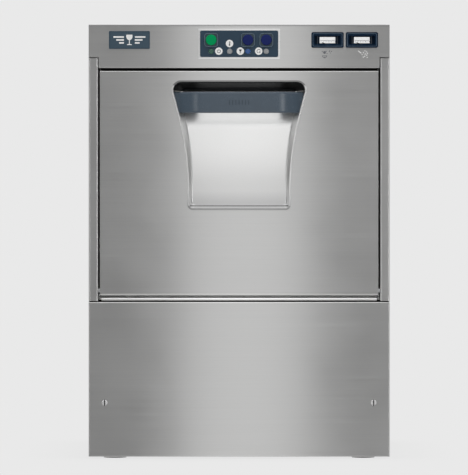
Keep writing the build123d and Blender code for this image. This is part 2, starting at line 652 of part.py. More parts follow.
def button_bezels():
    bezels = []
    for x in BUTTON_X.values():
        square = front_slab(Pos(x, BUTTON_Z) * RectangleRounded(22, 22, 6), FRONT - 3.8, FRONT - 1.6)
        square = fillet(square.faces().sort_by(Axis.Y)[0].outer_wire().edges(), 1.0)
        square += rod((x, FRONT - 1.6, BUTTON_Z), (x, FRONT + 14, BUTTON_Z), 10.2)
        square += block((x - 9, x + 9), (FRONT + 14, FRONT + 32), (BUTTON_Z - 9, BUTTON_Z + 9))
        square -= rod((x, FRONT - 5, BUTTON_Z), (x, FRONT + 12, BUTTON_Z), 8.6)
        bezels += (square - rod((x, FRONT + 10, BUTTON_Z), (x, FRONT + 22, BUTTON_Z), 3.3)).solids()
    return Compound(bezels)


def button(x):
    cap = rod((x, FRONT - 6.2, BUTTON_Z), (x, FRONT + 6, BUTTON_Z), 8.3)
    cap = fillet(cap.edges().group_by(Axis.Y)[0], 1.2)
    return cap + rod((x, FRONT + 6, BUTTON_Z), (x, FRONT + 17, BUTTON_Z), 3.0)


def indicator_lamps():
    lamps = []
    for x in LAMP_X:
        lens = rod((x, FRONT - 3.4, LAMP_Z), (x, FRONT + 8, LAMP_Z), 4.3)
        lamps += fillet(lens.edges().group_by(Axis.Y)[0], 1.6).solids()
    return Compound(lamps)


def thermometers():
    """Two panel thermometers: framed case with a sunk dial and a pin for the pointer."""
    cases = []
    for x in GAUGE_X.values():
        bezel = front_slab(Pos(x, GAUGE_Z) * RectangleRounded(50.4, 24.4, 2.6), FRONT - 3, FRONT)
        bezel = fillet(bezel.faces().sort_by(Axis.Y)[0].edges(), 1.2)
        case = bezel + block((x - 22, x + 22), (FRONT, FRONT + 26), (GAUGE_Z - 9.5, GAUGE_Z + 9.5))
        case -= front_slab(Pos(x, GAUGE_Z) * RectangleRounded(40.8, 13.9, 1.2), FRONT - 4, FRONT + 1)
        case -= block((x - 21, x + 21), (FRONT - 1, FRONT + 5), (GAUGE_Z - 8.6, GAUGE_Z + 8.6))
        case += rod((x, FRONT + 2, PIVOT_Z), (x, FRONT + 6, PIVOT_Z), 0.7)
        cases += case.solids()
    return Compound(cases)


def pointer(x):
    """Needle with a hub on the thermometer's pin, resting at the cold end."""
    y0, y1 = FRONT + 2.6, FRONT + 3.4
    bore = rod((x, y0 - 1, PIVOT_Z), (x, y1 + 1, PIVOT_Z), 0.76)
    hub = rod((x, y0, PIVOT_Z), (x, y1, PIVOT_Z), 1.7) - bore
    needle = front_slab(Polygon((-0.8, 0), (0.8, 0), (0.3, 9.6), (-0.3, 9.6), align=None), y0, y1)
    needle = Pos(x, 0, PIVOT_Z) * Rot(0, -POINTER_REST, 0) * needle
    return hub + (needle - rod((x, y0 - 1, PIVOT_Z), (x, y1 + 1, PIVOT_Z), 1.2))


def badge_plate():
    plate = front_slab(Pos(BADGE_X, GAUGE_Z) * RectangleRounded(64, 27.9, 1.6), FRONT - 1.2, FRONT)
    return fillet(plate.faces().sort_by(Axis.Y)[0].edges(), 0.4)


# ---- Door ---------------------------------------------------------------------------------------
def door_outer_skin():
    x, y, z = (-DOOR_HALF, DOOR_HALF), (FRONT, FRONT + 42), (DOOR_LOW, DOOR_HIGH)
    shell = block(x, y, z)
    shell = fillet(edges_along(shell, Axis.X, Y=FRONT, Z=DOOR_LOW), 4)
    shell = fillet(edges_along(shell, Axis.X, Y=FRONT, Z=DOOR_HIGH), 1.5)
    wall = DOOR_SKIN
    hollow = block((x[0] + wall, x[1] - wall), (y[0] + wall, y[1] + 1), (z[0] + wall, z[1] - wall))
    hollow = fillet(edges_along(hollow, Axis.X, Y=FRONT + wall, Z=DOOR_LOW + wall), 3)
    shell -= hollow
    shell -= front_slab(pocket_outline(1.1), FRONT - 1, FRONT + 2)
    hole = rod((DOOR_HALF - 5, HINGE_Y, HINGE_Z), (DOOR_HALF + 1, HINGE_Y, HINGE_Z), PIN_R + 0.6)
    return shell - both_sides(hole)


def door_inner_panel():
    """Pressed pan that closes the back of the door, with a sunk middle."""
    side, low, high = DOOR_HALF - DOOR_SKIN - 0.1, DOOR_LOW + 1.1, DOOR_HIGH - 1.1
    front = FRONT + 26
    pan = block((-side, side), (front, DOOR_BACK), (low, high))
    pan = fillet([e for e in pan.edges() if abs(e.center().Y - DOOR_BACK) < 0.01], 6)
    inner = block((-side + 1, side - 1), (front - 1, DOOR_BACK - 1), (low + 1, high - 1))
    inner = fillet([e for e in inner.edges() if abs(e.center().Y - DOOR_BACK + 1) < 0.01], 5)
    middle = Pos(0, (low + high) / 2)

    def dish(y_floor, width, height, corner, flare=5):
        floor = middle * RectangleRounded(width, height, corner)
        mouth = middle * RectangleRounded(width + 2 * flare, height + 2 * flare, corner + flare)
        return loft([(facing(y_floor) * floor).face(), (facing(DOOR_BACK) * mouth).face()])

    return pan - (inner - dish(DOOR_BACK - 6, 368, 278, 19, 6)) - dish(DOOR_BACK - 5, 366, 276, 18)


def pocket_outline(grow, middle=0.0, stretch=1.0, low_corner=6.0, high_corner=13.0):
    """Front-view outline of the hand pocket: wide at the top, flowing into upright sides at the bottom."""

    def up(z):
        return (z - middle) * stretch

    low, high = POCKET_LOW, POCKET_HIGH
    half_high = POCKET_HALF_BEND + (high - POCKET_BEND_Z) * POCKET_SLOPE
    start = (POCKET_HALF_LOW, up(POCKET_STRAIGHT_Z))
    side = [
        Line((POCKET_HALF_LOW, up(low)), start),
        TangentArc(start, (POCKET_HALF_BEND, up(POCKET_BEND_Z)), tangent=(0, 1)),
        Line((POCKET_HALF_BEND, up(POCKET_BEND_Z)), (half_high, up(high))),
    ]
    lines = Curve() + side
    lines += mirror(lines, about=Plane.YZ)
    lines += Line((-POCKET_HALF_LOW, up(low)), (POCKET_HALF_LOW, up(low)))
    lines += Line((-half_high, up(high)), (half_high, up(high)))
    face = make_face(lines)
    if grow:
        face = offset(face, amount=grow, kind=Kind.INTERSECTION)
    face = fillet(face.vertices().group_by(Axis.Y)[-1], high_corner + grow)
    return fillet(face.vertices().group_by(Axis.Y)[0], low_corner + grow)


def behind_pocket_floor():
    """Everything behind the pocket's floor, which starts upright and sweeps back to a steady lean."""
    lean = tan(radians(POCKET_LEAN))
    low, high = POCKET_LOW - 4, POCKET_HIGH + 4
    swept = (POCKET_LEAN_Z - POCKET_LOW) * tan(radians(POCKET_LEAN / 2))
    knee = (FRONT + POCKET_DEPTH + swept, POCKET_LEAN_Z)
    top = (knee[0] + (high - POCKET_LEAN_Z) * lean, high)
    foot = (FRONT + POCKET_DEPTH, POCKET_LOW)
    upper = (knee[0] + 60 * lean, POCKET_LEAN_Z + 60)
    floor = Spline(foot, knee, upper, top, tangents=[(0, 1), (lean, 1)])
    back = FRONT + 80
    edge = [Line((foot[0], low), foot), floor, Line(top, (back, high)), Line((back, high), (back, low))]
    side = make_face(Curve() + edge + Line((back, low), (foot[0], low)))
    return Pos(-150, 0, 0) * extrude(Plane.YZ * side, amount=300)


def pocket_back_plane():
    """Sloping plane behind the floor that the walls are drawn to."""
    run, rise = POCKET_DEEP - POCKET_DEPTH - 1, POCKET_HIGH - POCKET_LOW
    lean = atan2(run, rise)
    middle = (POCKET_LOW + POCKET_HIGH) / 2
    depth = (POCKET_DEEP + POCKET_DEPTH + 1) / 2
    plane = Plane(origin=(0, FRONT + depth, middle), x_dir=(1, 0, 0), z_dir=(0, -cos(lean), sin(lean)))
    return plane, middle, 1 / cos(lean)


def pocket_volume(grow):
    """The pocket's cavity, or with grow its pressing's outside."""
    plane, middle, stretch = pocket_back_plane()
    mouth = facing(FRONT) * pocket_outline(grow)
    back = plane * pocket_outline(grow - POCKET_DRAFT, middle, stretch, 14, 20)
    cavity = loft([mouth.face(), back.face()]) - Pos(0, grow, 0) * behind_pocket_floor()
    inner = cavity.faces().filter_by(lambda face: face.center().Y > FRONT + 1)
    return fillet(inner.sort_by(SortBy.AREA)[-1].edges(), POCKET_BEND + grow)


def handle_pocket():
    tray = pocket_volume(1.0) - pocket_volume(0)
    rim = front_slab(pocket_outline(2.6), FRONT - 1.2, FRONT)
    rim = fillet(rim.faces().sort_by(Axis.Y)[0].edges(), 0.8)
    return tray + (rim - front_slab(pocket_outline(0), FRONT - 2, FRONT + 1))


def grip_bar():
    """Bowed bar whose ends turn back into the pocket, cut to the pocket's flare."""
    thick = 11.0
    half = [(104, 9), (92, 1), (68, -7), (0, -8)]
    points = [(-x, FRONT + y) for x, y in half] + [(x, FRONT + y) for x, y in reversed(half[:-1])]
    front = FilletPolyline(*points, radius=60)
    back = Pos(0, thick) * front
    bow = make_face(Curve() + [front, Line(front @ 1, back @ 1), back, Line(front @ 0, back @ 0)])
    bar = Pos(0, 0, GRIP_LOW) * extrude(bow, amount=GRIP_HIGH - GRIP_LOW)
    rims = bar.edges().group_by(Axis.Z)[0] + bar.edges().group_by(Axis.Z)[-1]
    bar = fillet([e for e in rims if abs((e % 0.5).X) > 0.5], 3)

    def reach(z):
        return POCKET_HALF_BEND + (z - POCKET_BEND_Z) * POCKET_SLOPE - 0.3

    low, high = reach(GRIP_LOW), reach(GRIP_HIGH)
    outline = Polygon((-low, GRIP_LOW), (low, GRIP_LOW), (high, GRIP_HIGH), (-high, GRIP_HIGH), align=None)
    outline = fillet(outline.vertices().group_by(Axis.Y)[0], 5)
    return bar & front_slab(outline, FRONT - 20, FRONT + 30)


def grip_lining():
    """Thin cap that lines the pocket above the grip: a back, a roof and two ends."""
    wide, middle, split, deep = 120, 80, FRONT + 32, FRONT + 60
    height = (HOOD_LOW, POCKET_HIGH + 1)
    cap = pocket_volume(0) & block((-wide, wide), (FRONT - 1, deep), height)
    cap -= pocket_volume(-LINING)
    return [
        cap & block((-middle, middle), (split, deep), height),
        cap & block((-middle, middle), (FRONT - 1, split), height),
        cap & block((-wide, -middle), (FRONT - 1, deep), height),
        cap & block((middle, wide), (FRONT - 1, deep), height),
    ]


def handle_grip():
    """The bar on two posts from the pocket's floor, and the lining above it."""
    cavity = pocket_volume(0)
    room = front_slab(pocket_outline(0), FRONT - 20, FRONT) + cavity
    post = block((65, 78), (FRONT + 4, FRONT + 60), (GRIP_LOW + 7, GRIP_HIGH - 3))
    lining = grip_lining()
    bar = (grip_bar() & room) + (both_sides(post) & cavity) - lining
    return Compound([solid for piece in (bar, *lining) for solid in piece.solids()])


def hinge_arms():
    plate = block((211, 214), (FRONT + 1.5, FRONT + 38), (DOOR_LOW + 2.4, DOOR_LOW + 76))
    plate = fillet(edges_along(plate, Axis.X, Y=FRONT + 1.5, Z=DOOR_LOW + 2.4), 5)
    arm = plate + rod((205, HINGE_Y, HINGE_Z), (214, HINGE_Y, HINGE_Z), 6.8)
    arm += rod((202, HINGE_Y + 7.2, HINGE_Z + 26), (211, HINGE_Y + 7.2, HINGE_Z + 26), 1.2)
    arm -= rod((200, HINGE_Y, HINGE_Z), (216, HINGE_Y, HINGE_Z), PIN_R + 0.05)
    return both_sides(arm)


def hinge_brackets():
    """Cheek plate with a riveted pin that the door turns on."""
    inner, outer = POST_INNER + SHEET, POST_INNER + SHEET + 3
    cheek = block((inner, outer), (FRONT + 3, FRAME_Y - 4), (HINGE_Z - 13.8, HINGE_Z + 38))
    cheek += block((inner, 233.8), (FRAME_Y - 7, FRAME_Y - 4), (HINGE_Z - 13.8, HINGE_Z + 38))
    pin = rod((185, HINGE_Y, HINGE_Z), (outer, HINGE_Y, HINGE_Z), PIN_R)
    collar = rod((185, HINGE_Y, HINGE_Z), (190.7, HINGE_Y, HINGE_Z), 6.5)
    return both_sides(cheek + pin + collar)


def door_spring(turns=7, pitch=1.7, coil_r=5.2, wire_r=0.7):
    """Torsion spring round the hinge pin, its long leg up behind the hinge arm's stud."""
    helix = Helix(pitch=pitch, height=turns * pitch, radius=coil_r)
    wire = sweep(Plane(origin=helix @ 0, z_dir=helix % 0) * Circle(wire_r), path=helix, is_frenet=True)
    leg = rod(helix @ 1, helix @ 1 + Vector(0, 32, 0), wire_r)
    spring = wire + leg
    along_pin = Plane(origin=(0, 0, 0), x_dir=(0, 1, 0), z_dir=(1, 0, 0)).location
    return Pos(191.5, HINGE_Y, HINGE_Z) * along_pin * spring


def door_springs():
    right = door_spring()
    return Compound([*right.solids(), *mirror(right, about=Plane.YZ).solids()])


# ---- Write every sub-part -----------------------------------------------------------------------
def main():
    os.makedirs("parts", exist_ok=True)
    left = left_side_panel()
    lower_nut = arm_nut()
    wash_arm, rinse_arm = lower_wash_arm(), lower_rinse_arm()
    made = {
        "base_tray": base_tray(),
        "left_side_panel": left,
        "right_side_panel": mirror(left, about=Plane.YZ),
        "rear_panel": rear_panel(),
        "top_cover": top_cover(),
        "control_fascia": control_fascia(),
        "lower_front_panel": lower_front_panel(),
        "panel_screws": panel_screws(),
        "chamber_shell": chamber_shell(),
        "front_frame": front_frame(),
        "door_gasket": door_gasket(),
        "wash_sump": wash_sump(),
        "tank_heater": tank_heater(),
        "filter_plates": filter_plates(),
        "suction_filter": suction_filter(),
        "standpipe": standpipe(),
        "rack_rails": rack_rails(),
        "glass_rack": glass_rack(),
        "lower_spindle": lower_spindle(),
        "upper_spindle": upper_spindle(),
        "arm_nuts": lower_nut + flipped(lower_nut),
        "lower_wash_arm": wash_arm,
        "lower_rinse_arm": rinse_arm,
        "upper_wash_arm": flipped(wash_arm),
        "upper_rinse_arm": flipped(rinse_arm),
        "wash_manifold": wash_manifold(),
        "pump_volute": pump_volute(),
        "pump_motor": pump_motor(),
        "pump_rotor": pump_rotor(),
        "pump_suction_hose": pump_suction_hose(),
        "rinse_boiler": rinse_boiler(),
        "boiler_element": boiler_element(),
        "rinse_hoses": rinse_hoses(),
        "inlet_valve": inlet_valve(),
        "drain_hose": drain_hose(),
        "cable_gland": cable_gland(),
        "control_board": control_board(),
        "thermostats": thermostats(),
        "rinse_aid_dispenser": rinse_aid_dispenser(),
        "control_plate": control_plate(),
        "button_bezels": button_bezels(),
        "indicator_lamps": indicator_lamps(),
        "thermometers": thermometers(),
        "badge_plate": badge_plate(),
        "door_outer_skin": door_outer_skin(),
        "door_inner_panel": door_inner_panel(),
        "handle_pocket": handle_pocket(),
        "handle_grip": handle_grip(),
        "hinge_arms": hinge_arms(),
        "hinge_brackets": hinge_brackets(),
        "door_springs": door_springs(),
    }
    made.update({name: button(x) for name, x in BUTTON_X.items()})
    made.update({name: pointer(x) for name, x in GAUGE_X.items()})
    made.update({name: foot(x, y) for name, (x, y) in FOOT_PLACES.items()})
    for name, shape in made.items():
        save(name, shape)


main()
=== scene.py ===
"""Looks of the undercounter glass washer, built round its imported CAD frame.

Metres, +Z up, the door faces -Y.
"""

import math

import bmesh
import bpy
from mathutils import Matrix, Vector
from mathutils.bvhtree import BVHTree


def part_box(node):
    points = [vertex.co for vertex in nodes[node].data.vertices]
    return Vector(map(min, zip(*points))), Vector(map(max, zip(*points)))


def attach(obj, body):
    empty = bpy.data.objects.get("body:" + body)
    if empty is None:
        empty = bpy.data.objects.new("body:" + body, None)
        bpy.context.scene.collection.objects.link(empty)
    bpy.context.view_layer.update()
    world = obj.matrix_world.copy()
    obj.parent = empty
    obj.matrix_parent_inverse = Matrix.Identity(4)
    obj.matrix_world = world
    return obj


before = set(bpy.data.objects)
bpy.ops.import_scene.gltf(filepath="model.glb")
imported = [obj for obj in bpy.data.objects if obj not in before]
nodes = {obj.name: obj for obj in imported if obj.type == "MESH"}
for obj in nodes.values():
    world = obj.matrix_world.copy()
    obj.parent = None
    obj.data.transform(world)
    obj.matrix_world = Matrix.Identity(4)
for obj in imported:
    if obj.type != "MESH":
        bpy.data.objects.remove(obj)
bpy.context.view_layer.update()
scene = bpy.context.scene
scene.view_settings.view_transform = "Standard"
scene.view_settings.look = "None"

MM = 0.001
FACE_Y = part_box("lower_front_panel")[0].y  # plane of the door, fascia and service panel


# ---- Materials ------------------------------------------------------------------------------
RANGE_SOCKETS = ("From Min", "From Max", "To Min", "To Max")
EDGE_RADIUS = 0.0015  # how far in from an outer edge the rubbing reaches
EDGE_AGREEMENT = (0.75, 0.99)  # of the rounded and the true normal, at full wear and at none


class Surface:
    """A Principled material whose colour, roughness and bump all vary over the surface."""

    def __init__(self, name, **sockets):
        self.material = bpy.data.materials.new(name)
        self.material.use_nodes = True
        self.tree = self.material.node_tree
        self.shader = self.tree.nodes["Principled BSDF"]
        self.coordinates = self.node("ShaderNodeTexCoord").outputs
        self.place = self.coordinates["Object"]
        for socket, value in sockets.items():
            self.shader.inputs[socket.replace("_", " ")].default_value = value

    def node(self, kind, **settings):
        made = self.tree.nodes.new(kind)
        for key, value in settings.items():
            setattr(made, key, value)
        return made

    def join(self, source, target):
        self.tree.links.new(source, target)

    def feed(self, value, socket):
        """Link a socket, or set a number or a colour."""
        if isinstance(value, bpy.types.NodeSocket):
            self.join(value, socket)
        elif isinstance(value, tuple):
            socket.default_value = (*value, 1)
        else:
            socket.default_value = value

    def axes(self, vector):
        """The X, Y and Z of a vector."""
        split = self.node("ShaderNodeSeparateXYZ")
        self.join(vector, split.inputs["Vector"])
        return [split.outputs[axis] for axis in "XYZ"]

    def noise(self, scale, detail=3.0, rough=0.55, lean=(1, 1, 1)):
        """Noise that is drawn out along the axes where lean is small."""
        mapping, made = self.node("ShaderNodeMapping"), self.node("ShaderNodeTexNoise")
        mapping.inputs["Scale"].default_value = lean
        self.join(self.place, mapping.inputs["Vector"])
        for socket, value in (("Scale", scale), ("Detail", detail), ("Roughness", rough)):
            made.inputs[socket].default_value = value
        self.join(mapping.outputs["Vector"], made.inputs["Vector"])
        return made.outputs["Fac"]

    def ramp(self, factor, low, high, from_low=0.3, from_high=0.7):
        """From low to high; nearly all noise lies between 0.3 and 0.7."""
        made = self.node("ShaderNodeMapRange")
        for socket, value in zip(RANGE_SOCKETS, (from_low, from_high, low, high)):
            made.inputs[socket].default_value = value
        self.join(factor, made.inputs["Value"])
        return made.outputs["Result"]

    def mix(self, factor, first, second):
        made = self.node("ShaderNodeMix", data_type="RGBA")
        for name, value in (("A", first), ("B", second)):
            self.feed(value, next(s for s in made.inputs if s.name == name and s.type == "RGBA"))
        self.feed(factor, made.inputs["Factor"])
        return next(s for s in made.outputs if s.type == "RGBA")

    def maths(self, operation, first, second=0.0, clamp=False):
        made = self.node("ShaderNodeMath", operation=operation, use_clamp=clamp)
        self.feed(first, made.inputs[0])
        self.feed(second, made.inputs[1])
        return made.outputs[0]

    def swing(self, middle, noise, far, second_noise, near):
        """A value that one noise moves far from the middle and another noise less far."""
        main = self.ramp(noise, middle - far, middle + far)
        return self.maths("ADD", main, self.ramp(second_noise, -near, near))

    def colour(self, source):
        self.join(source, self.shader.inputs["Base Color"])

    def roughness(self, source):
        self.join(source, self.shader.inputs["Roughness"])

    def bump(self, source, depth):
        made = self.node("ShaderNodeBump")
        made.inputs["Strength"].default_value = 1.0
        made.inputs["Distance"].default_value = depth
        self.join(source, made.inputs["Height"])
        self.join(made.outputs["Normal"], self.shader.inputs["Normal"])

    def wear_and_highlight_edges(self, most):
        """Patchy paler outer edges, found from the surface's own shape: wear, and a painted edge
        highlight where most is large.
        """
        bevel = self.node("ShaderNodeBevel", samples=4)
        bevel.inputs["Radius"].default_value = EDGE_RADIUS
        made = self.node("ShaderNodeVectorMath", operation="DOT_PRODUCT")
        self.join(bevel.outputs["Normal"], made.inputs[0])
        self.join(self.node("ShaderNodeNewGeometry").outputs["Normal"], made.inputs[1])
        edges = self.ramp(made.outputs["Value"], 1.0, 0.0, *EDGE_AGREEMENT)
        return self.maths("MULTIPLY", edges, self.ramp(self.noise(160.0), 0.0, most), True)


def scaled(colour, by):
    return tuple(min(1.0, c * by) for c in colour)


def brushed(
    name, colour, rough=0.3, grain=(1, 1, 1), tangent="Z", turn=0.25, anisotropy=0.6, depth=2e-6
):
    """Ground sheet steel: fine scratches along one direction, and faint wipe marks."""
    s = Surface(name, Metallic=1.0, Anisotropic=anisotropy, Anisotropic_Rotation=turn)
    made = s.node("ShaderNodeTangent", direction_type="RADIAL", axis=tangent)
    s.join(made.outputs["Tangent"], s.shader.inputs["Tangent"])
    scratches, wipes = s.noise(1.0, 4.0, 0.7, grain), s.noise(9.0, 2.0, 0.5)
    tone = s.mix(s.ramp(scratches, 0, 1), scaled(colour, 0.955), scaled(colour, 1.03))
    s.colour(s.mix(s.ramp(wipes, 0.0, 0.22), tone, scaled(colour, 0.93)))
    s.roughness(s.swing(rough, scratches, 0.035, wipes, 0.02))
    s.bump(scratches, depth)
    return s.material


def moulded(
    name, colour, rough=0.45, grain=900.0, depth=1.2e-5, patch=0.08, metal=0.0, edge=(0.6, 1.6),
    **sockets
):
    """Moulded or painted surface: fine texture, faint patchiness and paler outer edges.

    edge is how much of the outer edges is paler and by how much: wear, and for the bezels and
    thermometer frames a painted edge highlight.
    """
    s = Surface(name, Metallic=metal, **sockets)
    patches, texture = s.noise(22.0, 3.0, 0.6), s.noise(grain, 2.0, 0.5)
    tone = s.mix(s.ramp(patches, 0, 1), scaled(colour, 1 - patch), scaled(colour, 1 + patch))
    s.colour(s.mix(s.wear_and_highlight_edges(edge[0]), tone, scaled(colour, edge[1])))
    s.roughness(s.swing(rough, patches, 0.05, texture, 0.03))
    s.bump(texture, depth)
    return s.material


ALONG, ACROSS = 6, 2500  # scale of the noise along and across the scratches
GRAIN_X = (ALONG, ACROSS, ACROSS)
GRAIN_Y = (ACROSS, ALONG, ACROSS)
GRAIN_XY = (ALONG, ALONG, ACROSS)  # level scratches on faces to the front and to the sides alike
SPRING_GRAIN, TINT_GRAIN = (1500, 1500, 1500), (300, 300, 300)
STEEL = (0.60, 0.60, 0.595)

door_steel = brushed("door_steel", STEEL, 0.33, GRAIN_X)
side_steel = brushed("side_steel", STEEL, 0.33, GRAIN_XY)
cover_steel = brushed("cover_steel", (0.40, 0.40, 0.40), 0.40, GRAIN_X, tangent="Y")
polished_steel = brushed(
    "polished_steel", (0.72, 0.72, 0.72), 0.14, GRAIN_X, anisotropy=0.2, depth=6e-7
)
sill_steel = brushed(
    "sill_steel", (0.84, 0.84, 0.835), 0.36, GRAIN_X, anisotropy=0.0, depth=6e-7
)
chamber_steel = brushed("chamber_steel", (0.58, 0.585, 0.59), 0.28, GRAIN_X)
filter_steel = brushed("filter_steel", (0.52, 0.53, 0.53), 0.3, GRAIN_Y, tangent="X", turn=0.0)
surround_steel = brushed(
    "surround_steel", (0.80, 0.80, 0.80), 0.3, GRAIN_X, anisotropy=0.3, depth=6e-7
)
spring_steel = brushed("spring_steel", (0.33, 0.34, 0.35), 0.3, SPRING_GRAIN, anisotropy=0.0)
tinted_steel = brushed(
    "heat_tinted_steel", (0.34, 0.31, 0.27), 0.35, TINT_GRAIN, anisotropy=0.0
)
boiler_steel = brushed("boiler_steel", (0.52, 0.51, 0.49), 0.34, GRAIN_X)
zinc = moulded("zinc_steel", (0.54, 0.55, 0.56), 0.40, 60.0, 4e-6, 0.06, metal=1.0)
brass = moulded("brass", (0.60, 0.44, 0.18), 0.3, 400.0, 3e-6, 0.1, metal=1.0)
cast_aluminium = moulded(
    "cast_aluminium", (0.42, 0.43, 0.44), 0.5, 700.0, 2e-5, 0.1, metal=1.0
)

SATIN = {"Specular_IOR_Level": 0.2}  # low sheen of printed plates and moulded caps
DULL = {"Specular_IOR_Level": 0.05}
BEZEL_EDGE_HIGHLIGHT, FRAME_EDGE_HIGHLIGHT = (1.0, 2.5), (1.0, 4.5)  # painted edge highlight besides some wear: nearly all of the edge is paler
CARD_PAINTED_GLOW = {"Emission_Color": (1, 1, 1, 1), "Emission_Strength": 0.46}  # painted light: the scale cards glow, though no lamp is behind them
navy_plate = moulded("navy_plate", (0.025, 0.050, 0.079), 0.36, 1500.0, 3e-6, 0.07, **SATIN)
bezel_plastic = moulded(
    "bezel_plastic", (0.036, 0.056, 0.072), 0.3, 1500.0, 4e-6, 0.06, edge=BEZEL_EDGE_HIGHLIGHT, **SATIN
)
button_green = moulded("button_green", (0.000, 0.277, 0.088), 0.32, 1200.0, 3e-6, 0.07, **DULL)
button_blue = moulded("button_blue", (0.013, 0.021, 0.107), 0.32, 1200.0, 3e-6, 0.07, **DULL)
gauge_frame = moulded(
    "gauge_frame", (0.005, 0.015, 0.034), 0.3, 1500.0, 4e-6, 0.07, edge=FRAME_EDGE_HIGHLIGHT, **DULL
)
badge_enamel = moulded("badge_enamel", (0.053, 0.085, 0.115), 0.34, 1500.0, 3e-6, 0.05, **SATIN)
# painted shade: near-black strip in the gap over the door
gap_shade_black = moulded("gap_shade_black", (0.004, 0.004, 0.004), 0.9, 900.0, 2e-5, 0.2, **DULL)
# painted edge highlight: pale plastic of the raised edge lines
edge_highlight_plastic = moulded("edge_highlight_plastic", (0.115, 0.160, 0.205), 0.3, 1500.0, 3e-6, 0.08, **SATIN)
rib_plastic = moulded("rib_plastic", (0.024, 0.036, 0.049), 0.34, 1600.0, 4e-6, 0.06, **SATIN)
rubber = moulded("black_rubber", (0.020, 0.020, 0.021), 0.72, 500.0, 2e-5, 0.15)
rack_plastic = moulded("rack_plastic", (0.030, 0.095, 0.26), 0.42, 700.0, 1.5e-5)
arm_plastic = moulded("arm_plastic", (0.10, 0.12, 0.15), 0.45, 800.0, 1.5e-5)
grey_plastic = moulded("grey_plastic", (0.42, 0.43, 0.435), 0.42, 800.0, 1.2e-5, 0.06)
black_plastic = moulded("black_plastic", (0.018, 0.018, 0.019), 0.5, 800.0, 2e-5, 0.12)
ivory_plastic = moulded("ivory_plastic", (0.60, 0.59, 0.55), 0.42, 800.0, 1.2e-5, 0.06)
board_green = moulded("board_green", (0.018, 0.130, 0.052), 0.35, 300.0, 1e-5, 0.2)
pointer_dark = moulded("pointer_dark", (0.020, 0.020, 0.025), 0.45, 1200.0, 3e-6, 0.06)
print_white = moulded("print_white", (0.86, 0.86, 0.85), 0.5, 1500.0, 3e-6, 0.04)
print_dark = moulded("print_dark", (0.030, 0.034, 0.042), 0.5, 1500.0, 3e-6, 0.06)
print_grey = moulded("print_grey", (0.13, 0.135, 0.15), 0.5, 1500.0, 3e-6, 0.06)
card_white = moulded("card_white", (0.84, 0.84, 0.83), 0.55, 1500.0, 3e-6, 0.03, **CARD_PAINTED_GLOW)


PANEL_SCREW_X = 0.21
SLOT_EDGE = (0.0007, 0.0011)  # half width of the dark stripe along the slot: fully dark, not darkened


def screw_material():
    """Turned bright steel, darker along the upright slots of the two front screws."""
    s = Surface("screw_steel", Metallic=1.0)
    x = s.axes(s.place)[0]
    off = s.maths("SUBTRACT", s.maths("ABSOLUTE", x), PANEL_SCREW_X)
    slot = s.ramp(s.maths("ABSOLUTE", off), 1.0, 0.0, *SLOT_EDGE)
    fine = s.noise(1500.0, 4.0, 0.7)
    steel = s.mix(s.ramp(fine, 0, 1), (0.62, 0.62, 0.62), (0.70, 0.70, 0.70))
    s.colour(s.mix(slot, steel, (0.07, 0.07, 0.07)))
    s.roughness(s.ramp(fine, 0.46, 0.54))
    s.bump(fine, 2e-6)
    return s.material


POCKET_FOOT_SHADE = (0.400, 0.418)  # painted shade: levels between which the pocket's foot goes from shaded to its full tone
# painted shadow: a dark line along the pocket's foot where the lower rim shades the floor,
# darker still below it
POCKET_SHADOW_LINE_Z, POCKET_SHADOW_LINE_HALF = 0.3950, 0.0765
POCKET_SHADOW_LINE_EDGE = (0.0006, 0.0014)
# painted shade: levels above which the pocket is darkened under its upper rim
POCKET_RIM_SHADE = (0.5820, 0.5835)


def pocket_material():
    """Satin pressed steel with painted shade: darker along the foot of the pocket, a painted
    shadow line at the foot, and darker under its upper rim.
    """
    s = Surface("pocket_steel", Metallic=1.0)
    x, _, height = s.axes(s.place)
    fine, broad = s.noise(700.0, 4.0, 0.7), s.noise(9.0, 2.0, 0.5)
    # painted shade: the foot of the pocket gets darker towards the bottom
    foot_shade = s.ramp(height, 0.0, 1.0, *POCKET_FOOT_SHADE)
    tone = s.mix(foot_shade, (0.56, 0.56, 0.56), (0.70, 0.70, 0.695))
    # painted shade below the line, then the painted shadow line itself
    tone = s.mix(s.maths("LESS_THAN", height, POCKET_SHADOW_LINE_Z), tone, (0.34, 0.34, 0.34))
    off = s.maths("ABSOLUTE", s.maths("SUBTRACT", height, POCKET_SHADOW_LINE_Z))
    along = s.maths("LESS_THAN", s.maths("ABSOLUTE", x), POCKET_SHADOW_LINE_HALF)
    shadow_line = s.maths("MULTIPLY", s.ramp(off, 1.0, 0.0, *POCKET_SHADOW_LINE_EDGE), along)
    tone = s.mix(shadow_line, tone, (0.10, 0.10, 0.10))
    # painted shade under the pocket's upper rim
    tone = s.mix(s.ramp(height, 0.0, 1.0, *POCKET_RIM_SHADE), tone, (0.22, 0.22, 0.22))
    s.colour(s.mix(s.ramp(fine, 0.0, 0.25), tone, s.mix(0.5, tone, (0.5, 0.5, 0.5))))
    s.roughness(s.swing(0.31, fine, 0.02, broad, 0.02))
    s.bump(fine, 6e-7)
    return s.material


GRIP_SLATE = (0.057, 0.081, 0.108)
# painted light: pale back faces, so the pocket floor under the grip reflects them bright;
# painted shade: the near-black lining
GRIP_BACK_PAINTED_LIGHT, LINING_PAINTED_SHADE = (0.80, 0.81, 0.82), (0.020, 0.021, 0.023)
LINING_Z = 0.5745  # everything of the handle above this level is lining
LINING_ROUGH = 0.6


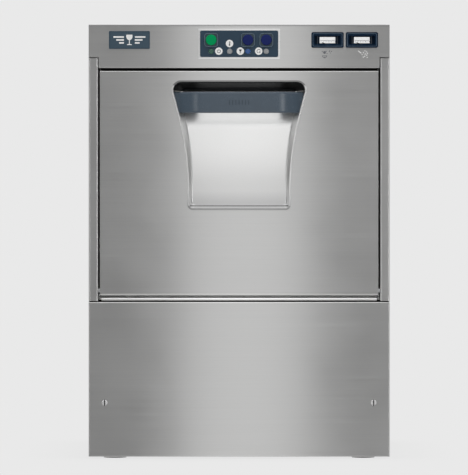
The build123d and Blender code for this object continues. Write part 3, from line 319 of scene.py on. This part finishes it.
def handle_material():
    """Slate plastic; its back is painted pale as painted light, and the lining of the hand hole
    above is painted near-black as painted shade.
    """
    s = Surface("handle_plastic", Specular_IOR_Level=0.5)
    lining = s.maths("GREATER_THAN", s.axes(s.place)[2], LINING_Z)
    behind = s.maths("GREATER_THAN", s.axes(s.coordinates["Normal"])[1], 0.3)
    patches, texture = s.noise(22.0, 3.0, 0.6), s.noise(1600.0, 2.0, 0.5)
    grip = s.mix(s.ramp(patches, 0, 1), scaled(GRIP_SLATE, 0.95), scaled(GRIP_SLATE, 1.05))
    grip = s.mix(s.wear_and_highlight_edges(0.5), grip, scaled(GRIP_SLATE, 1.5))
    # painted light: back faces pale
    grip = s.mix(behind, grip, GRIP_BACK_PAINTED_LIGHT)
    # painted shade: the lining over the hand hole is near-black
    s.colour(s.mix(lining, grip, LINING_PAINTED_SHADE))
    satin = s.swing(0.255, patches, 0.025, texture, 0.02)
    s.roughness(s.maths("MAXIMUM", satin, s.maths("MULTIPLY", lining, LINING_ROUGH)))
    s.join(lining, s.shader.inputs["Metallic"])
    s.bump(texture, 2e-6)
    return s.material


def lamp_lens_material():
    """Small ribbed lenses: green under the power button, clear, blue, clear."""
    s = Surface("lamp_lens", Roughness=0.16, Coat_Weight=0.6, Coat_Roughness=0.06)
    x = s.axes(s.place)[0]
    grey, green, blue = (0.30, 0.31, 0.32), (0.000, 0.080, 0.050), (0.000, 0.075, 0.300)
    lens = s.mix(s.maths("LESS_THAN", x, -0.03), grey, green)
    is_blue = s.maths("MULTIPLY", s.maths("GREATER_THAN", x, 0.0), s.maths("LESS_THAN", x, 0.03))
    lens = s.mix(is_blue, lens, blue)
    speck = s.noise(700.0, 2.0)
    s.colour(s.mix(s.ramp(speck, 0.0, 0.35), lens, (0.02, 0.02, 0.02)))
    s.roughness(s.ramp(speck, 0.10, 0.24))
    s.bump(speck, 2e-5)
    return s.material


FEET = ["foot_front_left", "foot_front_right", "foot_rear_left", "foot_rear_right"]
LOOKS = {
    door_steel: ["control_fascia", "lower_front_panel", "door_outer_skin"],
    side_steel: ["left_side_panel", "right_side_panel"],
    cover_steel: ["top_cover"],
    pocket_material(): ["handle_pocket"],
    polished_steel: ["lower_rinse_arm", "upper_rinse_arm"],
    sill_steel: ["front_frame"],
    chamber_steel: ["chamber_shell", "wash_sump", "rack_rails", "door_inner_panel"],
    filter_steel: ["filter_plates", "suction_filter"],
    screw_material(): ["panel_screws"],
    zinc: ["base_tray", "rear_panel", "hinge_brackets", "hinge_arms"],
    spring_steel: ["door_springs", "pump_rotor"],
    tinted_steel: ["tank_heater"],
    boiler_steel: ["rinse_boiler"],
    brass: ["boiler_element"],
    cast_aluminium: ["pump_motor"],
    handle_material(): ["handle_grip"],
    navy_plate: ["control_plate"],
    bezel_plastic: ["button_bezels"],
    button_green: ["power_button"],
    button_blue: ["wash_button", "rinse_button"],
    gauge_frame: ["thermometers"],
    badge_enamel: ["badge_plate"],
    rubber: ["door_gasket", "wash_manifold", "pump_suction_hose", "rinse_hoses", "drain_hose"],
    rack_plastic: ["glass_rack"],
    arm_plastic: ["lower_wash_arm", "upper_wash_arm"],
    grey_plastic: ["lower_spindle", "upper_spindle", "arm_nuts", "standpipe", "thermostats"],
    black_plastic: ["pump_volute", "cable_gland", *FEET],
    ivory_plastic: ["inlet_valve", "rinse_aid_dispenser"],
    board_green: ["control_board"],
    pointer_dark: ["wash_pointer", "rinse_pointer"],
    lamp_lens_material(): ["indicator_lamps"],
}
for material, names in LOOKS.items():
    for name in names:
        mesh = nodes[name].data
        mesh.materials.clear()
        mesh.materials.append(material)


# ---- Outlines, lists of (x, z) seen from the front --------------------------------------------
def circle(x, z, radius, steps=40, start=0.0, foot_shade=360.0):
    """A closed ring, or an open arc when sweep is less than 360 degrees."""
    count = steps if foot_shade >= 360.0 else steps + 1
    points = []
    for i in range(count):
        way = math.radians(start + foot_shade * i / steps)
        points.append((x + radius * math.cos(way), z + radius * math.sin(way)))
    return points


def bar(x0, z0, x1, z1, width):
    """A straight stroke with square ends."""
    run = Vector((x1 - x0, z1 - z0)).normalized() * width / 2
    near = [(x0 - run.y, z0 + run.x), (x0 + run.y, z0 - run.x)]
    return near + [(x1 + run.y, z1 - run.x), (x1 - run.y, z1 + run.x)]


def arc_stroke(x, z, radius, width, start, foot_shade):
    outer = circle(x, z, radius + width / 2, 28, start, foot_shade)
    inner = circle(x, z, radius - width / 2, 28, start, foot_shade)
    return outer + list(reversed(inner))


def oblong(x0, z0, x1, z1):
    return [(x0, z0), (x1, z0), (x1, z1), (x0, z1)]


def rounded(x, z, half_x, half_z, corner, steps=6):
    """A rectangle with rounded corners."""
    points = []
    for turn, (sx, sz) in enumerate(((1, 1), (-1, 1), (-1, -1), (1, -1))):
        centre_x, centre_z = x + sx * (half_x - corner), z + sz * (half_z - corner)
        for i in range(steps + 1):
            way = math.radians(90 * turn + 90 * i / steps)
            points.append((centre_x + corner * math.cos(way), centre_z + corner * math.sin(way)))
    return points


def spots(x, z, offsets):
    """Points at the given offsets in millimetres."""
    return [(x + dx * MM, z + dz * MM) for dx, dz in offsets]


# ---- Solids from outlines ---------------------------------------------------------------------
def ring(made, outline, y):
    return [made.verts.new((x, y, z)) for x, z in outline]


def skin(made, rings):
    """Quads between each ring and the next."""
    for low, high in zip(rings, rings[1:]):
        for i in range(len(low)):
            j = (i + 1) % len(low)
            made.faces.new((low[i], low[j], high[j], high[i]))


def slab(made, outline, front, back, bevel=0.0):
    """A closed prism of an outline between two depths, its front rim bevelled."""
    centre_x = sum(x for x, _ in outline) / len(outline)
    centre_z = sum(z for _, z in outline) / len(outline)
    shrunk = []
    for x, z in outline:
        away = Vector((x - centre_x, z - centre_z))
        size = away.length or 1.0
        keep = max(0.0, size - bevel) / size
        shrunk.append((centre_x + away.x * keep, centre_z + away.y * keep))
    rings = [ring(made, outline, back)]
    if bevel:
        rings.append(ring(made, outline, front + bevel))
    rings.append(ring(made, shrunk, front))
    skin(made, rings)
    made.faces.new(list(reversed(rings[0])))
    made.faces.new(rings[-1])


def rim(made, loops):
    """A raised line whose section runs through each (outline, depth) and back to the first."""
    rings = [ring(made, outline, y) for outline, y in loops]
    skin(made, rings + rings[:1])


def edge_line(made, outlines, front, back):
    """A flat-topped raised line between an outer and an inner outline."""
    outer, inner = outlines
    rim(made, ((outer, back), (outer, front), (inner, front), (inner, back)))


def finish_piece(name, made, material, body, face_out=False):
    if face_out:
        bmesh.ops.recalc_face_normals(made, faces=made.faces)
    mesh = bpy.data.meshes.new(name)
    made.to_mesh(mesh)
    made.free()
    piece = bpy.data.objects.new(name, mesh)
    scene.collection.objects.link(piece)
    mesh.materials.append(material)
    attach(piece, body)


# ---- Pieces on the control panel --------------------------------------------------------------
plate_low, plate_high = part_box("control_plate")
ICON_R = 5.8 * MM
ICONS = {
    "power": (-31.7, 636.3), "heat": (-15.0, 648.2), "wash": (1.9, 636.3), "rinse": (30.6, 636.3)
}


def icon_discs():
    made = bmesh.new()
    for x, z in ICONS.values():
        disc = circle(x * MM, z * MM, ICON_R)
        slab(made, disc, plate_low.y - 0.25 * MM, plate_low.y + 0.2 * MM, 0.12 * MM)
    finish_piece("icon_discs", made, print_white, "cabinet")


def icon_marks():
    """Pictograms on the discs: power, thermometer, wash and rinse."""
    made = bmesh.new()
    stroke = 0.75 * MM

    def mark(outline):
        slab(made, outline, plate_low.y - 0.33 * MM, plate_low.y - 0.2 * MM)

    x, z = (v * MM for v in ICONS["power"])
    mark(arc_stroke(x, z, 2.5 * MM, stroke, 125, 290))
    mark(bar(x, z + 0.6 * MM, x, z + 3.4 * MM, stroke))
    x, z = (v * MM for v in ICONS["heat"])
    mark(circle(x, z - 2.2 * MM, 1.25 * MM, 24))
    mark(bar(x, z - 1.6 * MM, x, z + 3.5 * MM, 1.1 * MM))
    for step in range(3):
        level = z + (0.4 + 1.1 * step) * MM
        mark(bar(x + 1.1 * MM, level, x + 2.2 * MM, level, 0.4 * MM))
    x, z = (v * MM for v in ICONS["wash"])
    mark(spots(x, z, ((-2.2, 2.6), (-1.2, -0.6), (1.2, -0.6), (2.2, 2.6))))
    mark(bar(x, z - 0.7 * MM, x, z - 2.6 * MM, 0.55 * MM))
    mark(bar(x - 1.5 * MM, z - 2.9 * MM, x + 1.5 * MM, z - 2.9 * MM, 0.6 * MM))
    x, z = (v * MM for v in ICONS["rinse"])
    mark(arc_stroke(x, z, 2.7 * MM, stroke, 20, 250))
    mark(spots(x, z, ((1.2, -3.0), (3.4, -0.8), (0.6, -0.6))))
    finish_piece("icon_marks", made, print_dark, "cabinet")


def plate_surround():
    """Narrow polished frame round the control plate."""
    front, back = FACE_Y - 0.35 * MM, FACE_Y + 0.1 * MM
    made = bmesh.new()
    section = ((0.3, back), (0.3, front), (2.9, front + 0.15 * MM), (3.1, back))
    loops = []
    for grow, y in section:
        x0, x1 = plate_low.x - grow * MM, plate_high.x + grow * MM
        loops.append((oblong(x0, plate_low.z - grow * MM, x1, plate_high.z + grow * MM), y))
    rim(made, loops)
    finish_piece("plate_surround", made, surround_steel, "cabinet", face_out=True)


BADGE_BOWL = (
    (-4.6, 8.2), (-4.9, 5.0), (-4.0, 2.0), (-2.0, 0.2), (0, -0.4),
    (2.0, 0.2), (4.0, 2.0), (4.9, 5.0), (4.6, 8.2),
)
BADGE_FOOT = ((-4.2, -7.9), (4.2, -7.9), (3.4, -6.8), (0, -6.1), (-3.4, -6.8))
BADGE_LINES = (16.5, 12.0, 7.5)  # lengths, from the top


def badge_emblem():
    """A plain wine-glass pictogram between short lines, in place of any name."""
    low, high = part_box("badge_plate")
    x, z = (low.x + high.x) / 2, (low.z + high.z) / 2
    front, back = low.y - 0.35 * MM, low.y + 0.2 * MM
    made = bmesh.new()
    slab(made, spots(x, z, BADGE_BOWL), front, back, 0.1 * MM)
    slab(made, bar(x, z - 0.2 * MM, x, z - 6.6 * MM, 1.3 * MM), front, back)
    slab(made, spots(x, z, BADGE_FOOT), front, back)
    for side in (-1, 1):
        for step, length in enumerate(BADGE_LINES):
            level = z + (4.6 - 4.6 * step) * MM
            x0, x1 = sorted((x + side * 8.5 * MM, x + side * (8.5 + length) * MM))
            slab(made, bar(x0, level, x1, level, 2.4 * MM), front, back)
    finish_piece("badge_emblem", made, print_white, "cabinet")


def badge_rim():
    """Fine raised frame round the badge."""
    low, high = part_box("badge_plate")
    made = bmesh.new()
    inset, width = 1.2 * MM, 0.5 * MM
    x0, x1, z0, z1 = low.x + inset, high.x - inset, low.z + inset, high.z - inset
    for line in ((x0, z0, x1, z0), (x0, z1, x1, z1), (x0, z0, x0, z1), (x1, z0, x1, z1)):
        slab(made, bar(*line, width), low.y - 0.15 * MM, low.y + 0.1 * MM)
    finish_piece("badge_rim", made, bezel_plastic, "cabinet")


gauge_low, gauge_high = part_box("thermometers")
GAUGE_Z = (gauge_low.z + gauge_high.z) / 2
GAUGE_HALF = 25.2 * MM
GAUGE_X = {"wash": gauge_low.x + GAUGE_HALF, "rinse": gauge_high.x - GAUGE_HALF}
CARD_Y = FACE_Y + 3.9 * MM
CARD_HALF_X, CARD_HALF_Z = 12.2 * MM, 4.8 * MM
BEZEL_HALF = 11.0 * MM


def edge_highlight_lines():
    """Raised lines on the edges of the button bezels and of the thermometer frames, made paler
    as a painted edge highlight.
    """
    made = bmesh.new()
    low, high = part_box("button_bezels")
    z, middle = (low.z + high.z) / 2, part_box("wash_button")
    for x in (low.x + BEZEL_HALF, (middle[0].x + middle[1].x) / 2, high.x - BEZEL_HALF):
        outlines = []
        for cut in (0.5, 1.2):
            half = BEZEL_HALF - cut * MM
            outlines.append(rounded(x, z, half, half, (4.4 - cut) * MM))
        edge_line(made, outlines, low.y - 0.1 * MM, low.y + 0.9 * MM)
    half_z = (gauge_high.z - gauge_low.z) / 2
    for x in GAUGE_X.values():
        outlines = []
        for cut in (2.2 * MM, 2.7 * MM):
            outlines.append(rounded(x, GAUGE_Z, GAUGE_HALF - cut, half_z - cut, 1.6 * MM))
        edge_line(made, outlines, gauge_low.y - 0.1 * MM, gauge_low.y + 0.6 * MM)
    finish_piece("edge_highlight_lines", made, edge_highlight_plastic, "cabinet", face_out=True)


def gauge_cards():
    """White scale card behind each pointer, with a line and ticks across its middle."""
    cards, ticks = bmesh.new(), bmesh.new()
    front, back = CARD_Y - 0.08 * MM, CARD_Y + 0.1 * MM
    z = GAUGE_Z
    for x in GAUGE_X.values():
        corners = oblong(x - CARD_HALF_X, z - CARD_HALF_Z, x + CARD_HALF_X, z + CARD_HALF_Z)
        slab(cards, corners, CARD_Y, CARD_Y + 0.9 * MM, 0.1 * MM)
        line = bar(x - 11.4 * MM, z - 0.5 * MM, x + 11.4 * MM, z - 0.5 * MM, 0.6 * MM)
        slab(ticks, line, front, back)
        for step in range(11):
            px = x + (step - 5) * 2.1 * MM
            tall = 1.2 * MM if step % 5 == 0 else 0.6 * MM
            slab(ticks, bar(px, z - 0.2 * MM, px, z + tall, 0.3 * MM), front, back)
    # painted light: the cards glow to offset the shade of their recess
    finish_piece("gauge_cards", cards, card_white, "cabinet")
    finish_piece("gauge_ticks", ticks, print_grey, "cabinet")


def text_piece(name, words, place, size, material):
    curve = bpy.data.curves.new(name, "FONT")
    curve.body = words
    curve.size = size
    curve.extrude = 0.03 * MM
    curve.align_x = "CENTER"
    curve.align_y = "CENTER"
    maker = bpy.data.objects.new(name, curve)
    maker.rotation_euler = (math.radians(90), 0, 0)
    maker.location = place
    scene.collection.objects.link(maker)
    bpy.context.view_layer.update()
    mesh = bpy.data.meshes.new_from_object(maker)
    mesh.transform(maker.matrix_world)
    bpy.data.objects.remove(maker)
    made = bmesh.new()
    made.from_mesh(mesh)
    finish_piece(name, made, material, "cabinet")


def gauge_numbers():
    """0 to 100 along the foot of each scale card."""
    for key, x in GAUGE_X.items():
        for i in range(6):
            words = str(20 * i)
            place = (x + (i - 2.5) * 4.1 * MM, CARD_Y - 0.05 * MM, GAUGE_Z - 2.7 * MM)
            text_piece(f"{key}_dial_{words}", words, place, 2.8 * MM, print_grey)


def gauge_side_lines():
    """Fine light line beside each scale card, the edge of the dial's inner frame."""
    made = bmesh.new()
    for x in GAUGE_X.values():
        for side in (-1, 1):
            px = x + side * 15.2 * MM
            line = bar(px, GAUGE_Z - 6.0 * MM, px, GAUGE_Z + 6.0 * MM, 0.5 * MM)
            slab(made, line, CARD_Y - 0.3 * MM, CARD_Y + 0.9 * MM)
    finish_piece("gauge_inner_frames", made, print_grey, "cabinet")


WASH_DROPS = (
    (-6.6, 4.6), (-3.0, -4.6), (0.8, 1.2), (-0.4, 4.8),
    (4.2, 4.4), (6.0, 2.2), (7.6, 4.6), (5.0, 5.6),
)
RINSE_DROPS = (
    (-1.4, -0.8), (0.6, 2.4), (2.6, -3.4), (3.4, 0.2), (5.2, 3.6),
    (0.4, -4.6), (5.8, -1.6), (7.0, 1.4), (3.0, 5.4), (6.4, -5.0),
)


def fascia_pictograms():
    """Printed under the thermometers: wash tank with jets, and a rinse spray."""
    front, back = FACE_Y - 0.12 * MM, FACE_Y + 0.05 * MM
    dark, white = bmesh.new(), bmesh.new()
    x, z = GAUGE_X["wash"] - 1.5 * MM, 631.3 * MM
    slab(dark, arc_stroke(x - 3 * MM, z - 2.5 * MM, 3.0 * MM, 0.8 * MM, 180, 180), front, back)
    slab(dark, bar(x - 7 * MM, z - 2.2 * MM, x + 1 * MM, z - 2.2 * MM, 0.8 * MM), front, back)
    slab(dark, circle(x - 3 * MM, z + 3.0 * MM, 2.2 * MM, 24), front, back)
    for px, pz in spots(x, z, WASH_DROPS):
        slab(dark, circle(px, pz, 0.75 * MM, 12), front, back)
    x, z = GAUGE_X["rinse"] + 1.8 * MM, 631.7 * MM
    spray_head = bar(x - 8 * MM, z + 5.6 * MM, x - 2.6 * MM, z + 1.4 * MM, 1.3 * MM)
    slab(white, spray_head, front, back)
    for px, pz in spots(x, z, RINSE_DROPS):
        slab(white, circle(px, pz, 0.95 * MM, 12), front, back)
    finish_piece("wash_pictogram", dark, print_grey, "cabinet")
    finish_piece("rinse_pictogram", white, print_white, "cabinet")


# ---- Pieces on and over the door --------------------------------------------------------------
def grip_surface():
    """The grip's mesh, for finding its faces."""
    mesh = nodes["handle_grip"].data
    points = [v.co for v in mesh.vertices]
    return BVHTree.FromPolygons(points, [tuple(p.vertices) for p in mesh.polygons])


MARK_STEP, MARK_HALF, MARK_RISE = 5.0, 0.65, 0.03  # spacing, half width, height over the grip
MARK_Z = [(551.5 + 1.0 * i) * MM for i in range(10)]


def grip_ribs():
    """Seven upright marks on the middle of the grip, in place of the lettering there."""
    surface = grip_surface()
    made = bmesh.new()
    for step in range(-3, 4):
        x = MARK_STEP * step * MM
        rows = []
        for z in MARK_Z:
            front = surface.ray_cast(Vector((x, FACE_Y - 0.1, z)), Vector((0, 1, 0)))[0].y
            is_tip = z in (MARK_Z[0], MARK_Z[-1])
            half, rise = (0.3 * MM, -0.05 * MM) if is_tip else (MARK_HALF * MM, MARK_RISE * MM)
            ends = [(x - half, front + 0.3 * MM), (x - half * 0.7, front - rise)]
            ends += [(x + half * 0.7, front - rise), (x + half, front + 0.3 * MM)]
            rows.append([made.verts.new((px, py, z)) for px, py in ends])
        skin(made, rows)
        made.faces.new(rows[0])
        made.faces.new(rows[-1])
    finish_piece("grip_ribs", made, rib_plastic, "door", face_out=True)


def gap_shade_strip():
    """Near-black strip under the fascia's return fold, set back in the gap over the door:
    painted shade for the dark gap.
    """
    low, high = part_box("door_outer_skin")
    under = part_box("control_fascia")[0].z
    clear = 1.2 * MM
    made = bmesh.new()
    outline = oblong(low.x + 1 * MM, high.z + clear, high.x - 1 * MM, under)
    slab(made, outline, FACE_Y + 5 * MM, FACE_Y + 20 * MM, 0.4 * MM)
    finish_piece("gap_shade_strip", made, gap_shade_black, "cabinet", face_out=True)


icon_discs()
icon_marks()
edge_highlight_lines()
gap_shade_strip()
plate_surround()
grip_ribs()
badge_emblem()
badge_rim()
gauge_cards()
gauge_numbers()
gauge_side_lines()
fascia_pictograms()


# ---- Studio -----------------------------------------------------------------------------------
BACKDROP = 0.8148  # linear value of the pale backdrop
FLOOR_HALF = 60.0
CONTACT_REACH, CONTACT_SHADE = 0.12, 0.93  # shade of the floor close to the machine
FLOOR_GREY = (0.42, 0.42, 0.42, 1)
# Steepness where the brightness starts and ends to rise, then its two values, level and steep
WALLS_UP = (0.30, 0.75, 0.185, 1.50)
WALLS_DOWN = (-0.30, -0.75, 0.0, 0.55)  # added below the horizon


def seen_by_camera(tree, others, seen, out):
    """One shader for the camera's own rays and another for all the rest."""
    mix, path = tree.nodes.new("ShaderNodeMixShader"), tree.nodes.new("ShaderNodeLightPath")
    tree.links.new(path.outputs["Is Camera Ray"], mix.inputs["Fac"])
    tree.links.new(others, mix.inputs[1])
    tree.links.new(seen, mix.inputs[2])
    tree.links.new(mix.outputs["Shader"], out.inputs["Surface"])


def pale_floor():
    """Shows the backdrop's own tone, a little darker where the machine stands."""
    material = bpy.data.materials.new("pale_floor")
    material.use_nodes = True
    tree = material.node_tree
    tree.nodes.clear()
    out = tree.nodes.new("ShaderNodeOutputMaterial")
    seen, other = tree.nodes.new("ShaderNodeEmission"), tree.nodes.new("ShaderNodeBsdfDiffuse")
    occlusion = tree.nodes.new("ShaderNodeAmbientOcclusion")
    occlusion.samples = 8
    occlusion.inputs["Distance"].default_value = CONTACT_REACH
    shade = tree.nodes.new("ShaderNodeMapRange")
    shade.inputs["To Min"].default_value = BACKDROP * CONTACT_SHADE
    shade.inputs["To Max"].default_value = BACKDROP
    tree.links.new(occlusion.outputs["AO"], shade.inputs["Value"])
    tree.links.new(shade.outputs["Result"], seen.inputs["Strength"])
    other.inputs["Color"].default_value = FLOOR_GREY
    seen_by_camera(tree, other.outputs["BSDF"], seen.outputs["Emission"], out)

    mesh = bpy.data.meshes.new("floor")
    corners = oblong(-FLOOR_HALF, -FLOOR_HALF, FLOOR_HALF, FLOOR_HALF)
    mesh.from_pydata([(x, y, 0) for x, y in corners], [], [(0, 1, 2, 3)])
    mesh.materials.append(material)
    floor = bpy.data.objects.new("floor", mesh)
    scene.collection.objects.link(floor)
    floor.visible_shadow = False
    floor.visible_diffuse = False
    floor.visible_glossy = False


def studio_walls():
    """Dim at the level of the machine and bright above, as reflections show it."""
    world = bpy.data.worlds.new("studio")
    scene.world = world
    world.use_nodes = True
    tree = world.node_tree
    tree.nodes.clear()
    out = tree.nodes.new("ShaderNodeOutputWorld")
    around = tree.nodes.new("ShaderNodeBackground")
    around.inputs["Color"].default_value = (1, 1, 1, 1)
    behind = tree.nodes.new("ShaderNodeBackground")
    behind.inputs["Color"].default_value = (BACKDROP, BACKDROP, BACKDROP, 1)
    way, split = tree.nodes.new("ShaderNodeTexCoord"), tree.nodes.new("ShaderNodeSeparateXYZ")
    tree.links.new(way.outputs["Generated"], split.inputs["Vector"])
    both = tree.nodes.new("ShaderNodeMath")
    for side, values in enumerate((WALLS_UP, WALLS_DOWN)):
        rise = tree.nodes.new("ShaderNodeMapRange")
        rise.interpolation_type = "SMOOTHSTEP"
        for socket, value in zip(RANGE_SOCKETS, values):
            rise.inputs[socket].default_value = value
        tree.links.new(split.outputs["Z"], rise.inputs["Value"])
        tree.links.new(rise.outputs["Result"], both.inputs[side])
    tree.links.new(both.outputs[0], around.inputs["Strength"])
    seen_by_camera(tree, around.outputs["Background"], behind.outputs["Background"], out)


def softbox(name, place, aim, width, height, radiance):
    """A rectangular light whose face has the given brightness."""
    light = bpy.data.lights.new(name, "AREA")
    light.shape = "RECTANGLE"
    light.size = width
    light.size_y = height
    light.energy = radiance * math.pi * width * height
    lamp = bpy.data.objects.new(name, light)
    lamp.location = place
    lamp.rotation_euler = (Vector(aim) - Vector(place)).to_track_quat("-Z", "Y").to_euler()
    lamp.visible_camera = False
    scene.collection.objects.link(lamp)
    return lamp


# Name, place, point aimed at, width, height, brightness
SOFTBOXES = (
    ("front_strip", (0.009, FACE_Y - 0.45, 0.35), (0.009, FACE_Y, 0.35), 0.226, 4.0, 0.62),
    ("grip_glint_left", (-1.15, FACE_Y - 3.0, 0.5), (0, FACE_Y, 0.55), 0.30, 1.0, 5.0),
    ("grip_glint_right", (1.15, FACE_Y - 3.0, 0.5), (0, FACE_Y, 0.55), 0.30, 1.0, 9.0),
    ("left_side", (-2.4, -0.4, 0.35), (0, 0, 0.35), 1.6, 3.0, 0.8),
    ("right_side", (2.4, -0.4, 0.35), (0, 0, 0.35), 1.6, 3.0, 0.8),
    ("rear", (0, 2.6, 0.9), (0, 0, 0.35), 1.8, 2.4, 0.8),
)
POCKET_FILL, FILL_WIDTH = 0.9, 0.166
UNDER_DEPTH, BACK_HEIGHT = 0.014, 0.030


def pocket_fill():
    """Two weak strips close under and behind the grip, carried by the door."""
    surface = grip_surface()
    below, inside = Vector((0.03, FACE_Y, 0.50)), Vector((0.03, FACE_Y + 0.028, 0.555))
    under = surface.ray_cast(below, Vector((0, 0, 1)))[0].z - 1.0 * MM
    back = surface.ray_cast(inside, Vector((0, -1, 0)))[0].y + 1.0 * MM
    y, z = back - 8 * MM, under + 16 * MM
    lower = softbox(
        "pocket_fill_under", (0, y, under), (0, y, 0), FILL_WIDTH, UNDER_DEPTH, POCKET_FILL
    )
    upper = softbox(
        "pocket_fill_back", (0, back, z), (0, 1, z), FILL_WIDTH, BACK_HEIGHT, POCKET_FILL
    )
    lower.parent = upper.parent = nodes["handle_grip"]


def camera():
    """Straight on, with a long lens."""
    middle_x, middle_z, distance, wide = -0.008, 0.3454, 6.0, 0.7417
    data = bpy.data.cameras.new("camera")
    data.sensor_width = 36.0
    data.lens = data.sensor_width * distance / wide
    data.clip_end = 200.0
    made = bpy.data.objects.new("camera", data)
    made.location = (middle_x, FACE_Y - distance, middle_z)
    made.rotation_euler = (math.radians(90), 0, 0)
    scene.collection.objects.link(made)
    scene.camera = made


pale_floor()
studio_walls()
for values in SOFTBOXES:
    softbox(*values)
pocket_fill()
camera()
